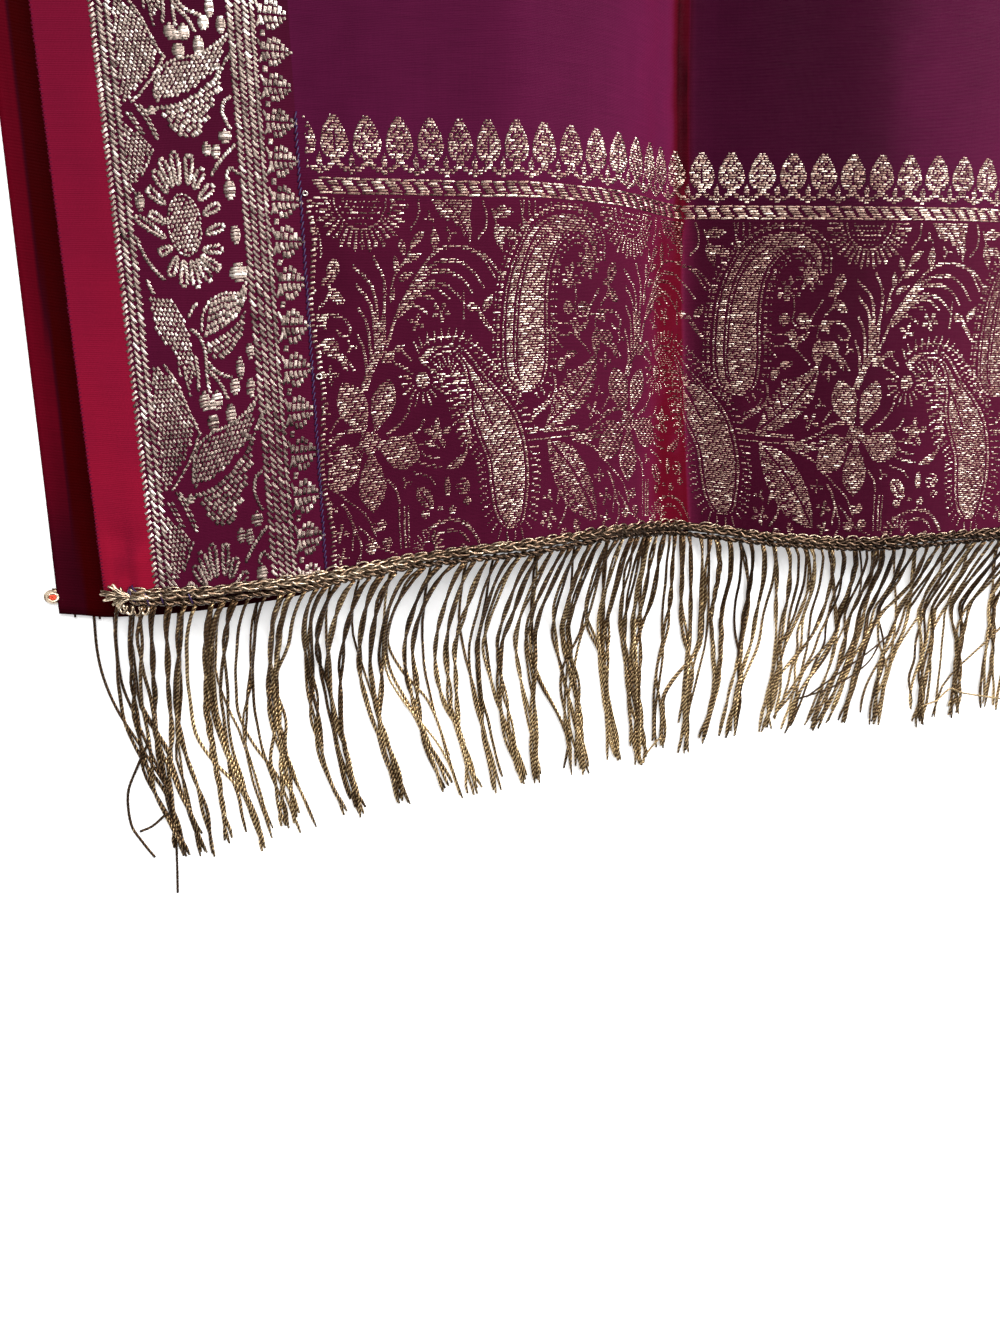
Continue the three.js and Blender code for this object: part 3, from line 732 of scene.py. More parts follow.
def pillows(name, a, b, width, height, mat, node, lift=0.0, sink=0.16, bias=0.0, spread=0.13):
    """Raised threads from a to b, (n, 2) arrays of u, v in mm on the cloth, each a small hipped ridge."""
    a, b = np.asarray(a, float), np.asarray(b, float)
    n = len(a)
    width, height = np.broadcast_to(width, (n,)), np.broadcast_to(height, (n,))
    d = b - a
    L = np.linalg.norm(d, axis=1, keepdims=True)
    d = d / np.maximum(L, 1e-6)
    s = np.stack([-d[:, 1], d[:, 0]], -1) * width[:, None] / 2
    inset = d * np.minimum(L * 0.28, width[:, None] * 0.6)
    ring = [a - s, b - s, b + s, a + s, a + inset, b - inset]
    P = np.stack(ring, 1)
    u, v = P[..., 0], P[..., 1]
    base = face(u, v)
    nrm = normal(u, v)
    h = np.stack([np.full(n, -sink)] * 4 + [height] * 2, 1) + lift
    verts = (base + nrm * h[..., None]).reshape(-1, 3)
    o = np.arange(n)[:, None] * 6
    quads = np.concatenate([o + np.array([0, 1, 5, 4]), o + np.array([2, 3, 4, 5])])
    tris = np.concatenate([o + np.array([1, 2, 5]), o + np.array([3, 0, 4])])
    r = np.random.default_rng(n)
    rnd = np.repeat(np.clip(r.normal(0.5, spread, n) + bias, 0, 1), 6)
    ob = build(name, verts, quads, tris, uv=np.stack([u, v], -1).reshape(-1, 2), attrs={"rnd": rnd})
    ob.data.materials.append(mat)
    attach(ob, "root")
    return ob


class Chart:
    """One repeat of a woven motif as a mask, x across and y along, in mm."""

    def __init__(self, x0, x1, dx, y0, y1, dy):
        self.xs, self.ys, self.dx, self.dy = np.arange(x0, x1, dx), np.arange(y0, y1, dy), dx, dy
        self.x, self.y = np.meshgrid(self.xs, self.ys)
        self.m = np.zeros(self.x.shape, bool)

    def win(self, x0, x1, y0, y1):
        i = slice(*np.searchsorted(self.xs, [x0, x1]))
        j = slice(*np.searchsorted(self.ys, [y0, y1]))
        return j, i

    def put(self, w, inside, on):
        self.m[w] = np.where(inside, on, self.m[w])

    def ell(self, cx, cy, rx, ry, rot=0.0, on=True):
        R = max(rx, ry) + 0.5
        w = self.win(cx - R, cx + R, cy - R, cy + R)
        c, s = math.cos(math.radians(rot)), math.sin(math.radians(rot))
        X, Y = self.x[w] - cx, self.y[w] - cy
        self.put(w, ((X * c + Y * s) / rx) ** 2 + ((-X * s + Y * c) / ry) ** 2 <= 1, on)

    def line(self, pts, w0=1.2, w1=None, on=True, wiggle_amp=0.0):
        pts = smooth_path(pts)
        n = len(pts)
        ww = np.linspace(w0, w0 if w1 is None else w1, n) / 2
        lo, hi = pts.min(0) - ww.max() - 0.5, pts.max(0) + ww.max() + 0.5
        w = self.win(lo[0], hi[0], lo[1], hi[1])
        X, Y = self.x[w], self.y[w]
        inside = np.zeros(X.shape, bool)
        for (p, q, r) in zip(pts[:-1], pts[1:], (ww[:-1] + ww[1:]) / 2):
            dx, dy = q - p
            t = np.clip(((X - p[0]) * dx + (Y - p[1]) * dy) / max(dx * dx + dy * dy, 1e-9), 0, 1)
            inside |= (X - p[0] - t * dx) ** 2 + (Y - p[1] - t * dy) ** 2 <= r * r
        self.put(w, inside, on)

    def leaf(self, bx, by, tx, ty, width, serrate=0.0, teeth=7, vein=0.0, belly=0.42, on=True, bend=0.0):
        L = math.hypot(tx - bx, ty - by)
        R = L / 2 + width
        cx, cy = (bx + tx) / 2, (by + ty) / 2
        w = self.win(cx - R, cx + R, cy - R, cy + R)
        c, s = (tx - bx) / L, (ty - by) / L
        X, Y = self.x[w] - bx, self.y[w] - by
        t, q = (X * c + Y * s) / L, -X * s + Y * c
        tt = np.clip(t, 0, 1)
        q = q - bend * L * 4 * tt * (1 - tt)
        k = math.log(0.5) / math.log(belly)
        prof = np.sin(math.pi * tt ** k) ** 0.8 * width / 2
        prof = prof * (1 - serrate * (tt * teeth % 1.0))
        inside = (t > 0) & (t < 1) & (np.abs(q) <= prof)
        self.put(w, inside, on)
        if vein:
            self.put(w, inside & (np.abs(q) < vein / 2) & (tt < 0.93), not on)

    def grain(self, bx, by, tx, ty, width, gap, pitch, slant, belly=0.42):
        """Cuts slanting gaps, the veins of a leaf, on both sides of its line."""
        L = math.hypot(tx - bx, ty - by)
        R = L / 2 + width
        cx, cy = (bx + tx) / 2, (by + ty) / 2
        w = self.win(cx - R, cx + R, cy - R, cy + R)
        c, s = (tx - bx) / L, (ty - by) / L
        X, Y = self.x[w] - bx, self.y[w] - by
        t, q = X * c + Y * s, -X * s + Y * c
        inside = (t > 0) & (t < L) & (np.abs(q) < width / 2) & (((t - np.abs(q) * slant) % pitch) < gap)
        self.put(w, inside, False)


def smooth_path(pts, n=10):
    pts = np.asarray(pts, float)
    if len(pts) < 3:
        return pts
    ext = np.vstack([2 * pts[0] - pts[1], pts, 2 * pts[-1] - pts[-2]])
    out = []
    for i in range(1, len(ext) - 2):
        p0, p1, p2, p3 = ext[i - 1:i + 3]
        for t in np.linspace(0, 1, n, endpoint=False):
            out.append(0.5 * (2 * p1 + (p2 - p0) * t + (2 * p0 - 5 * p1 + 4 * p2 - p3) * t * t + (3 * p1 - p0 - 3 * p2 + p3) * t ** 3))
    out.append(pts[-1])
    return np.array(out)


def end_border_chart():
    ch = Chart(-1.6 * COLUMN, 12.4 * COLUMN, 0.25, 0.4, END_L + 0.4, 0.8)
    C = COLUMN

    def E(c, v, rx, ry, rot=0, on=True):
        ch.ell(c * C, v, rx, ry, rot, on)

    def S(pts, w0=1.2, w1=None, on=True):
        ch.line([(c * C, v) for c, v in pts], w0, w1, on)

    def F(c0, v0, c1, v1, width, **kw):
        ch.leaf(c0 * C, v0, c1 * C, v1, width, **kw)

    # the row of standing leaves, its dots and scallops; the rope comes last
    for k in range(-1, 12):
        F(k, 126.5, k, 140.0, 9.6, belly=0.34)
        ch.ell(k * C, 130.6, 4.6, 3.5)
        kind = (k * 7) % 5
        if kind in (0, 3):
            for j in range(3):
                v0 = 128.9 + 3.0 * j
                w_ = 0.30 - 0.06 * j
                S([(k - w_, v0 + 1.7), (k, v0)], 0.27, on=False)
                S([(k, v0), (k + w_, v0 + 1.7)], 0.27, on=False)
        elif kind in (1, 4):
            for j in range(3):
                v0 = 130.2 + 2.9 * j
                w_ = 0.32 - 0.07 * j
                S([(k - w_, v0 - 1.5), (k - w_ * 0.4, v0 - 0.1)], 0.27, on=False)
                S([(k + w_ * 0.4, v0 - 0.1), (k + w_, v0 - 1.5)], 0.27, on=False)
        else:
            S([(k, 128.6), (k, 134.6)], 0.27, on=False)
        F(k + 0.5, 124.3, k + 0.5, 128.6, 2.4)
        S([(k, 126.2), (k + 0.17, 124.8), (k + 0.5, 123.5), (k + 0.83, 124.8), (k + 1, 126.2)], 1.65)
        E(k, 126.0, 1.7, 1.0)

    # half a sunflower that hangs from the rope
    fc, fv = 1.68, 116.0
    for k in range(21):
        a = math.radians(180 + 9 * k)
        r0, r1 = 10.2, (15.8 if k % 2 else 14.8)
        for j in range(2):
            rr0 = r0 + (0.4 if j else 0)
            aa = a + math.radians(2.2) * (j - 0.5)
            p = [(fc * C + math.cos(aa) * r * 0.98, fv + math.sin(aa) * r * 0.96) for r in (rr0, (rr0 + r1) / 2, r1)]
            ch.line(p, 0.72, 0.95)
        ch.ell(fc * C + math.cos(a) * r1 * 0.98, fv + math.sin(a) * r1 * 0.96, 0.95, 0.7)
    a = np.radians(np.linspace(180, 360, 13))
    ch.line([(fc * C + 8.6 * math.cos(t), fv + 9.2 * math.sin(t)) for t in a], 0.9)
    for k in range(-5, 6):
        for j in range(5):
            x, y = k * 1.45 + (j % 2) * 0.7, -1.2 - j * 1.6
            if (x / 7.2) ** 2 + (y / 7.9) ** 2 < 1:
                ch.ell(fc * C + x, fv + y, 0.55, 0.5)
    S([(fc - 0.55, 116), (fc - 0.3, 112.4), (fc + 0.25, 111.4), (fc + 0.55, 116)], 0.8)

    # twigs and leaves between
    S([(3.55, 116.2), (3.5, 111), (3.25, 107)], 1.0)
    S([(2.5, 88), (2.65, 93), (3.0, 97.5), (3.35, 103)], 1.0)
    F(3.2, 101.8, 3.72, 106.8, 3.0)
    F(4.0, 100.6, 4.02, 108.2, 3.3)
    F(3.0, 99, 2.88, 104.6, 2.6)
    F(2.72, 93.6, 2.7, 99.8, 2.3)
    F(2.95, 97.5, 3.6, 99.8, 2.6)
    F(2.75, 91.8, 3.3, 94.6, 2.4)
    F(2.48, 85, 2.62, 89.8, 2.2)
    for j in range(12):
        t = j / 11
        S([(3.86 + 1.2 * t, 116.4 - 0.15 * j), (5.36 - 0.03 * j, 116.4 - 1.16 * j)], 1.0) if j % 1 == 0 and j < 9 else None
    fill_poly(ch, np.array([(3.86, 116.6), (4.06, 113.8), (4.2, 110.9), (4.5, 109.6), (4.62, 110.4), (4.8, 107.6), (4.9, 108.2), (5.04, 104.9), (5.12, 105.6), (5.26, 101.8), (5.34, 106.6), (5.3, 111.2), (5.38, 116.6)]) * [C, 1])
    S([(4.3, 116.4), (4.86, 110.9), (5.2, 105)], 0.3, on=False)
    S([(5.75, 116.2), (5.86, 111.5), (5.82, 107.5), (5.55, 104.6)], 1.1)
    F(6.1, 111.8, 6.85, 112.6, 4.0)
    F(6.2, 109.2, 6.42, 100.2, 3.8)
    F(6.3, 107.6, 7.0, 104.6, 3.6)
    S([(6.05, 113), (6.2, 109), (6.15, 104.8)], 1.0)
    for k in range(3):
        S([(7.22 + k * 0.2, 115.8), (7.2 + k * 0.2, 112.2)], 0.9)
    S([(7.08, 116), (7.16, 111), (7.26, 106)], 0.9)
    F(7.25, 101.6, 7.28, 105, 2.0)

    # upper cone: two-row outline, dotted halo, a brighter rib down its left
    body = smooth_path([(7.1, 54.3), (6.52, 58), (6.32, 66), (6.35, 78), (6.5, 89), (6.85, 99), (7.35, 107), (8.1, 111.6), (9.0, 112.6), (9.6, 110.6), (10.02, 105.4), (10.06, 98)], 8)
    inner = smooth_path([(7.4, 54.5), (7.9, 58.5), (8.06, 68), (8.06, 80), (8.1, 90), (8.28, 98), (8.6, 103.6), (9.15, 106.9), (9.6, 105.4), (9.92, 101), (10.0, 97)], 8)
    bp, ip = body * [C, 1], inner * [C, 1]
    poly = np.vstack([bp, ip[::-1]])
    fill_poly(ch, poly)
    for arr, w_, on in ((bp + [1.25, 0.2], 0.42, False), (ip + [-1.3, 0.1], 0.42, False)):
        ch.line(arr[4:-14:3], w_, on=on)
    ch.line([(x + 4.6, y + 0.5) for x, y in bp[8:54:4]], 0.4, on=False)
    halo(ch, bp, 1.55, 2.1, 0.78, 1)
    halo(ch, ip, 1.5, 2.5, 0.7, -1)
    crown = smooth_path([(7.02, 101.5), (7.45, 109.3), (8.15, 113.9), (9.05, 114.9), (9.85, 112.4), (10.32, 106.2), (10.36, 98.6)], 8) * [C, 1]
    ch.line(crown[2:-2:2], 0.8)
    rib_ = smooth_path([(7.0, 56.8), (6.86, 66), (6.92, 78), (7.06, 89), (7.4, 98.6), (7.9, 104.8), (8.5, 107.8)], 8) * [C, 1]
    ch.line(rib_[2:-2:3], 0.3, on=False)

    # inside the cone's curl
    E(9.68, 97.6, 3.0, 3.2)
    for k in range(8):
        a = math.radians(45 * k + 10)
        ch.ell(9.68 * C + 4.3 * math.cos(a), 97.6 + 4.5 * math.sin(a), 1.15, 0.95)
    E(8.92, 93.2, 1.5, 1.5)
    for k in range(6):
        a = math.radians(60 * k)
        ch.ell(8.92 * C + 2.7 * math.cos(a), 93.2 + 2.5 * math.sin(a), 0.95, 0.8)
    for c, v, r in ((8.42, 97, 1.2), (8.32, 94.2, 1.1), (8.9, 89.8, 1.3), (8.66, 90.8, 1.0), (9.0, 96.4, 1.0), (9.3, 91.0, 1.0)):
        E(c, v, r, r * 0.95)
    S([(9.12, 91), (9.16, 86.5), (9.1, 82)], 0.9)
    E(8.84, 82.5, 2.3, 2.2)
    E(9.46, 82.6, 2.6, 2.3)
    S([(8.7, 82.3), (9.6, 82.3)], 0.4, on=False)
    S([(9.1, 82), (9.3, 79.8), (9.9, 80.4)], 1.0)
    F(9.05, 79.6, 9.28, 72.2, 3.3)
    F(9.2, 74.2, 9.75, 78.4, 2.2)
    S([(8.2, 79.4), (8.5, 77.4), (9.05, 77.7)], 0.9)
    S([(8.15, 76.4), (8.5, 73.6), (9.1, 73.8)], 0.9)
    S([(8.1, 74.6), (8.4, 71.4), (8.62, 69)], 0.9)
    S([(9.1, 73.2), (9.4, 70.6), (9.72, 66.8)], 0.9)
    S([(9.6, 79), (9.8, 84), (10.1, 89)], 1.0)
    S([(10.2, 84), (10.5, 87), (10.6, 92)], 1.0)
    F(10.55, 91, 10.84, 97.8, 3.6)
    F(10.6, 89, 11.0, 84.6, 3.4)
    E(10.45, 91.4, 1.7, 1.2)
    F(10.1, 82.4, 10.4, 77.8, 3.8)
    F(9.98, 75.4, 10.02, 65.4, 4.4)
    F(10.2, 75.2, 10.78, 68.2, 4.4)
    S([(10.0, 80), (9.98, 76), (10.3, 74.5)], 0.9)
    F(10.8, 68.6, 11.0, 65, 2.4)
    F(8.7, 66.2, 9.2, 67.2, 3.0)
    S([(8.78, 66.6), (8.62, 63.6)], 0.9)
    F(8.62, 66, 8.46, 60.4, 3.4)
    F(8.92, 61.8, 8.82, 57.8, 3.0)

    # sprigs beside the seam, the fern and its long arcs
    F(0.62, 92.6, 0.84, 98.8, 4.6)
    F(0.5, 88.6, 1.05, 86.0, 3.6)
    S([(0.35, 90.6), (0.62, 92.2)], 1.1)
    S([(0.6, 92), (0.5, 87.6), (0.28, 84.4)], 1.0)
    S([(0.12, 80.8), (0.5, 81.8), (0.86, 81.2), (1.12, 78.6), (1.1, 76), (0.88, 75.6), (0.72, 77.0)], 1.2)
    E(0.22, 79.8, 1.9, 1.8)
    E(0.46, 72.6, 3.3, 2.9, -12)
    S([(0.7, 70.4), (0.95, 68.6), (1.2, 65.0)], 1.5, 0.9)
    S([(1.5, 59.5), (1.78, 66), (2.1, 72), (2.2, 80)], 3.0, 2.6)
    for tip, mid, root in (((1.36, 96), (1.95, 89), (2.05, 74)), ((1.42, 90.4), (1.85, 84), (1.95, 70)), ((1.44, 83.6), (1.7, 78), (1.78, 66)),
                           ((1.38, 75.4), (1.55, 70), (1.62, 62)), ((2.02, 98.8), (2.32, 90), (2.12, 74))):
        S([root, mid, tip], 1.6, 1.1)
    for pts in (((2.3, 72), (2.8, 84), (3.9, 99.2), (4.8, 102), (5.6, 99.4), (6.1, 92.6)), ((2.8, 82), (3.3, 91), (4.0, 96.8), (4.8, 97.4), (5.35, 94), (5.72, 89)),
                ((2.9, 83.2), (3.6, 92.6), (4.3, 94.6), (4.95, 91.8), (5.28, 87.6)), ((3.0, 84), (3.6, 90.4), (4.2, 90.6), (4.6, 88.4), (4.9, 85.2)),
                ((2.9, 83), (3.4, 87.4), (3.9, 89.6), (4.45, 86)), ((2.8, 82), (3.3, 86.6), (3.9, 86.2)), ((2.7, 80.6), (3.2, 83.9), (3.66, 81.6))):
        S(pts, 1.5, 1.0)
    S([(5.0, 101.6), (5.8, 99), (6.4, 92.4)], 1.1)
    F(2.1, 66.6, 2.55, 70.6, 4.4)
    F(2.5, 70.4, 2.9, 71.6, 2.0)
    S([(2.5, 66.5), (2.95, 64)], 1.1)
    S([(2.8, 70), (3.05, 67)], 1.2)
    S([(4.96, 88), (4.94, 79.4)], 1.0)
    F(5.05, 83.6, 5.6, 82.2, 3.2)
    F(5.66, 82, 6.04, 87.2, 3.2)
    S([(5.56, 80.6), (5.8, 77.4), (6.02, 74.6)], 2.2, 1.2)

    # lower cone
    lo_l = smooth_path([(3.28, 62.6), (3.2, 65.6), (3.5, 69.4), (4.1, 71.6), (4.8, 70.8), (5.25, 67), (5.7, 60), (5.95, 53), (5.2, 46), (5.45, 36), (5.62, 24), (5.95, 14), (6.5, 8.4), (6.9, 7.6)], 6)
    out = smooth_path([(3.3, 67.6), (3.75, 70.8), (4.4, 71.8), (5.0, 69.6), (5.7, 61), (6.35, 54), (6.9, 46), (7.18, 36), (7.26, 26), (7.15, 16), (6.95, 9.6), (6.55, 7.8)], 8)
    inn = smooth_path([(3.5, 64.4), (3.9, 67.6), (4.4, 68.4), (4.8, 65), (5.02, 57), (5.05, 49), (5.3, 41), (5.62, 33), (5.72, 24), (5.85, 15), (6.15, 9.4), (6.55, 7.8)], 8)
    op, np_ = out * [C, 1], inn * [C, 1]
    fill_poly(ch, np.vstack([op, np_[::-1]]))
    ch.line((op + [-1.5, -0.3])[6:-6:3], 0.42, on=False)
    ch.line((np_ + [1.5, 0.1])[12:-6:3], 0.42, on=False)
    ch.line([(4.45 * C, 66.5), (4.95 * C, 62), (5.5 * C, 52), (5.9 * C, 44)], 0.42, on=False)
    for k in range(7):
        S([(4.0 + k * 0.22, 69.6 - k * 2.4), (4.5 + k * 0.2, 66.6 - k * 2.6)], 0.4, on=False)
    spikes(ch, op, 1.1, 4.6, 2.15, 0.9, 1)
    spikes(ch, np_, 1.1, 4.2, 2.3, 0.9, -1)
    for j in range(10):
        # tongues on the hollow side of the neck, shorter lower down
        v_ = 61.6 - 2.5 * j
        S([(4.02 + 0.075 * j, v_ - 1.1), (4.45 + 0.04 * j, v_ - 0.1), (4.98 + 0.006 * j, v_ - 0.1)], 1.15, 1.4)
    for pts in (((3.34, 70.6), (3.9, 73.6), (4.7, 73.6), (5.4, 70.4), (6.0, 65.0), (6.5, 59.6)), ((3.6, 66.6), (4.1, 70.0), (4.75, 69.0), (5.25, 63.6), (5.6, 58.4))):
        S(list(pts), 0.75, on=(pts[0][1] > 68))

    # small daisy
    E(3.42, 60.6, 2.6, 2.8)
    for k in range(13):
        a = math.radians(150 + 20 * k)
        p = [(3.42 * C + math.cos(a) * r, 60.6 + math.sin(a) * r * 1.05) for r in (4.0, 6.4, 8.2 if k % 2 else 7.2)]
        ch.line(p, 0.9, 1.15)

    # five-petalled flower on its stem
    for c0, v0, c1, v1, w_ in ((1.46, 43.6, 0.80, 61.8, 9.9), (1.72, 44.6, 2.34, 61.6, 8.2), (1.75, 41.6, 3.24, 35.2, 11.0), (1.60, 40.4, 1.56, 19.4, 9.6), (1.36, 41.0, 0.14, 28.8, 10.2)):
        F(c0, v0, c1, v1, w_ * 1.06, belly=0.6)
    E(1.58, 42.0, 4.0, 3.6)
    for c1, v1 in ((1.62, 50.6), (2.3, 45.2), (2.0, 37.2), (0.98, 37.6), (0.96, 46.2)):
        S([(1.58 + (c1 - 1.58) * 0.3, 42 + (v1 - 42) * 0.3), (c1, v1)], 0.34, on=False)
    S([(0.25, 44.2), (0.6, 45.8), (1.1, 46.4)], 1.2)
    S([(0.2, 40.6), (0.5, 41.6), (1.1, 41.4)], 1.0)
    S([(0.3, 46.6), (0.55, 50.2), (0.86, 52.6)], 1.0)
    S([(2.15, 44.2), (2.55, 46.6), (2.85, 50), (3.0, 53.4)], 1.3, 1.0)
    S([(2.85, 43), (3.2, 44.2), (3.4, 47.4)], 1.1)
    E(3.82, 43.2, 2.4, 2.7, 20)
    for k in range(5):
        a = math.radians(72 * k + 15)
        ch.ell(3.85 * C + 3.6 * math.cos(a), 42.6 + 3.6 * math.sin(a), 1.9, 1.1, 72 * k + 15)
    S([(3.15, 39.6), (3.55, 39.8), (3.9, 38)], 1.1)
    S([(3.3, 36.8), (3.5, 35.4), (3.9, 34.8)], 1.0)
    S([(3.2, 33.8), (3.55, 32.4), (3.95, 31.6)], 1.0)
    F(4.1, 30.6, 4.95, 36.6, 3.4, bend=-0.1)
    S([(4.86, 35.8), (4.96, 40)], 0.9)
    S([(3.0, 30.6), (3.5, 28.6), (3.7, 26)], 0.9)
    S([(2.1, 29.4), (2.35, 26), (2.45, 21.6)], 1.1)
    F(3.1, 25.6, 3.62, 17.6, 5.6)
    S([(3.2, 24), (3.5, 19)], 0.36, on=False)
    E(4.15, 24.6, 1.4, 3.4)
    E(4.72, 24.2, 2.9, 2.9)
    for k in range(3):
        S([(4.5, 22.8 + k * 1.5), (5.0, 23.4 + k * 1.5)], 0.34, on=False)
    for c in (2.42, 2.6, 2.74):
        S([(c, 6), (c, 13), (c + 0.02, 20)], 0.85)
    S([(0.55, 23.6), (0.78, 19.4), (0.86, 14.6), (0.78, 8.6)], 1.2, 1.0)
    E(1.72, 14.8, 3.0, 2.3)
    E(1.42, 8.4, 2.5, 2.7)
    E(1.98, 8.6, 2.0, 2.2)
    for k in range(3):
        S([(1.4, 13.2 + k * 1.5), (2.0, 13.8 + k * 1.5)], 0.36, on=False)
        S([(1.22, 7 + k * 1.5), (1.62, 7.4 + k * 1.5)], 0.36, on=False)
    S([(1.05, 15.6), (1.35, 12), (1.7, 7.6), (2.3, 4.2)], 0.9)
    for a in range(0, 181, 22):
        t = math.radians(a)
        S([(3.4 + 0.24 * math.cos(t), 4.4 + 2.4 * math.sin(t)), (3.4 + 0.56 * math.cos(t), 4.4 + 6.4 * math.sin(t))], 1.3, 0.9)
    S([(3.3, 10.4), (3.8, 12.6), (4.3, 13.2), (4.8, 11.2), (5.1, 7.4), (5.25, 4.8)], 1.5)
    S([(3.7, 8.6), (4.2, 9.6), (4.6, 8.4), (4.85, 5.6)], 1.1)
    E(3.34, 16.2, 1.8, 1.6)
    E(4.3, 16.6, 1.7, 1.5)
    E(4.86, 19.2, 1.9, 1.3)
    E(3.86, 17.4, 1.2, 1.0)
    E(4.62, 3.4, 1.6, 1.2)

    # the pair of big leaves and what fills round them
    up_leaf = np.array([(7.85, 41.2), (8.0, 46), (8.3, 53), (8.65, 58.4), (9.05, 61.4), (9.5, 63.2), (10.06, 67.6), (10.04, 62), (9.95, 56), (9.65, 50.6), (9.2, 46.2), (8.6, 42.6)]) * [C, 1]
    fill_poly(ch, up_leaf)
    low_leaf = np.array([(7.95, 37.6), (8.6, 36.2), (9.1, 33.4), (9.5, 27.4), (9.86, 20), (10.04, 12), (10.06, 6.0), (9.7, 6.6), (9.3, 9), (9.0, 10.2), (8.6, 15.6), (8.25, 22), (8.02, 30)]) * [C, 1]
    fill_poly(ch, low_leaf)
    for k in range(9):
        t = (k + 0.5) / 9
        # notches along the outer edges, slanting towards the tip
        x, y = 8.0 + 1.5 * t - 0.12, 45 + 19 * t ** 0.8
        S([(x - 0.14, y + 1.2), (x + 0.10, y - 0.2)], 0.75, on=False)
        x, y = 8.75 + 1.28 * t, 42.2 + 15.5 * t ** 1.15
        S([(x + 0.16, y - 0.6), (x - 0.16, y - 0.3)], 0.7, on=False)
        x, y = 8.03 + 1.3 * t ** 1.2, 33.0 - 23.5 * t
        S([(x - 0.12, y - 1.0), (x + 0.14, y + 0.2)], 0.7, on=False)
    for k in range(6):
        t = (k + 0.6) / 6.4
        S([(8.15 + 1.7 * t, 44.6 + 17 * t), (8.0 + 1.62 * t + 0.05, 48.4 + 14.5 * t)], 0.34, on=False)
        S([(8.35 + 1.45 * t, 33.6 - 23 * t), (8.75 + 1.2 * t, 34.6 - 20.5 * t)], 0.34, on=False)
    S([(8.0, 42.6), (8.7, 48.8), (9.35, 55.0), (9.95, 63.0)], 0.62, on=False)
    S([(8.2, 35.4), (8.9, 27), (9.45, 18), (9.92, 8.6)], 0.62, on=False)
    S([(7.35, 41.6), (8.4, 40.6), (9.2, 40.6)], 1.4)
    S([(7.7, 37.8), (8.6, 38), (9.3, 38.6)], 1.2)
    for pts in (((9.0, 36.2), (10.0, 38.6), (11.2, 41.4)), ((9.2, 37.6), (10.1, 42), (10.9, 47)), ((9.2, 36), (9.8, 33.4), (10.2, 30.4)),
                ((9.1, 38), (10.2, 37.2), (11.1, 35)), ((9.1, 36.6), (9.9, 36.2), (10.9, 37.6))):
        S(pts, 1.3, 1.0)
    S([(8.3, 58.6), (8.28, 53.4), (8.0, 50), (7.4, 45.4)], 1.3)
    S([(8.1, 54), (7.9, 50.6), (7.45, 47.8)], 0.9)
    S([(8.25, 30.6), (8.62, 24.4), (8.72, 17), (8.66, 11), (8.38, 6.2)], 1.2)
    S([(8.3, 30.4), (8.16, 26)], 0.9)
    S([(10.7, 20.4), (10.95, 14), (11.1, 8), (10.9, 3.2)], 1.2)
    S([(10.2, 29.6), (10.8, 24), (11.3, 19), (11.6, 12)], 0.9)
    E(8.62, 3.6, 1.9, 2.0)
    F(9.12, 8.4, 9.24, 1.4, 3.2)
    F(8.5, 20, 8.3, 14, 1.8)
    # the rope under the scallops, between two dark lines
    w = ch.win(-50, 200, 115.9, 122.6)
    ch.m[w] = False
    w = ch.win(-50, 200, 116.9, 121.9)
    pitch = 10 * C / 22
    ch.m[w] = (((ch.x[w] + (ch.y[w] - 117.2) * 0.8) % pitch) < pitch - 1.0) | (ch.y[w] > 121.0) | (ch.y[w] < 117.6)
    # fold the margins back into one repeat
    per = int(round(10 * C / ch.dx))
    j0 = int(round((0 - ch.xs[0]) / ch.dx))
    cell = ch.m[:, j0:j0 + per].copy()
    right = ch.m[:, j0 + per:]
    cell[:, :right.shape[1]] |= right
    left = ch.m[:, :j0]
    cell[:, per - left.shape[1]:] |= left
    sprigs(cell, ch.ys, ch.dx, per)
    return cell, ch.ys, per


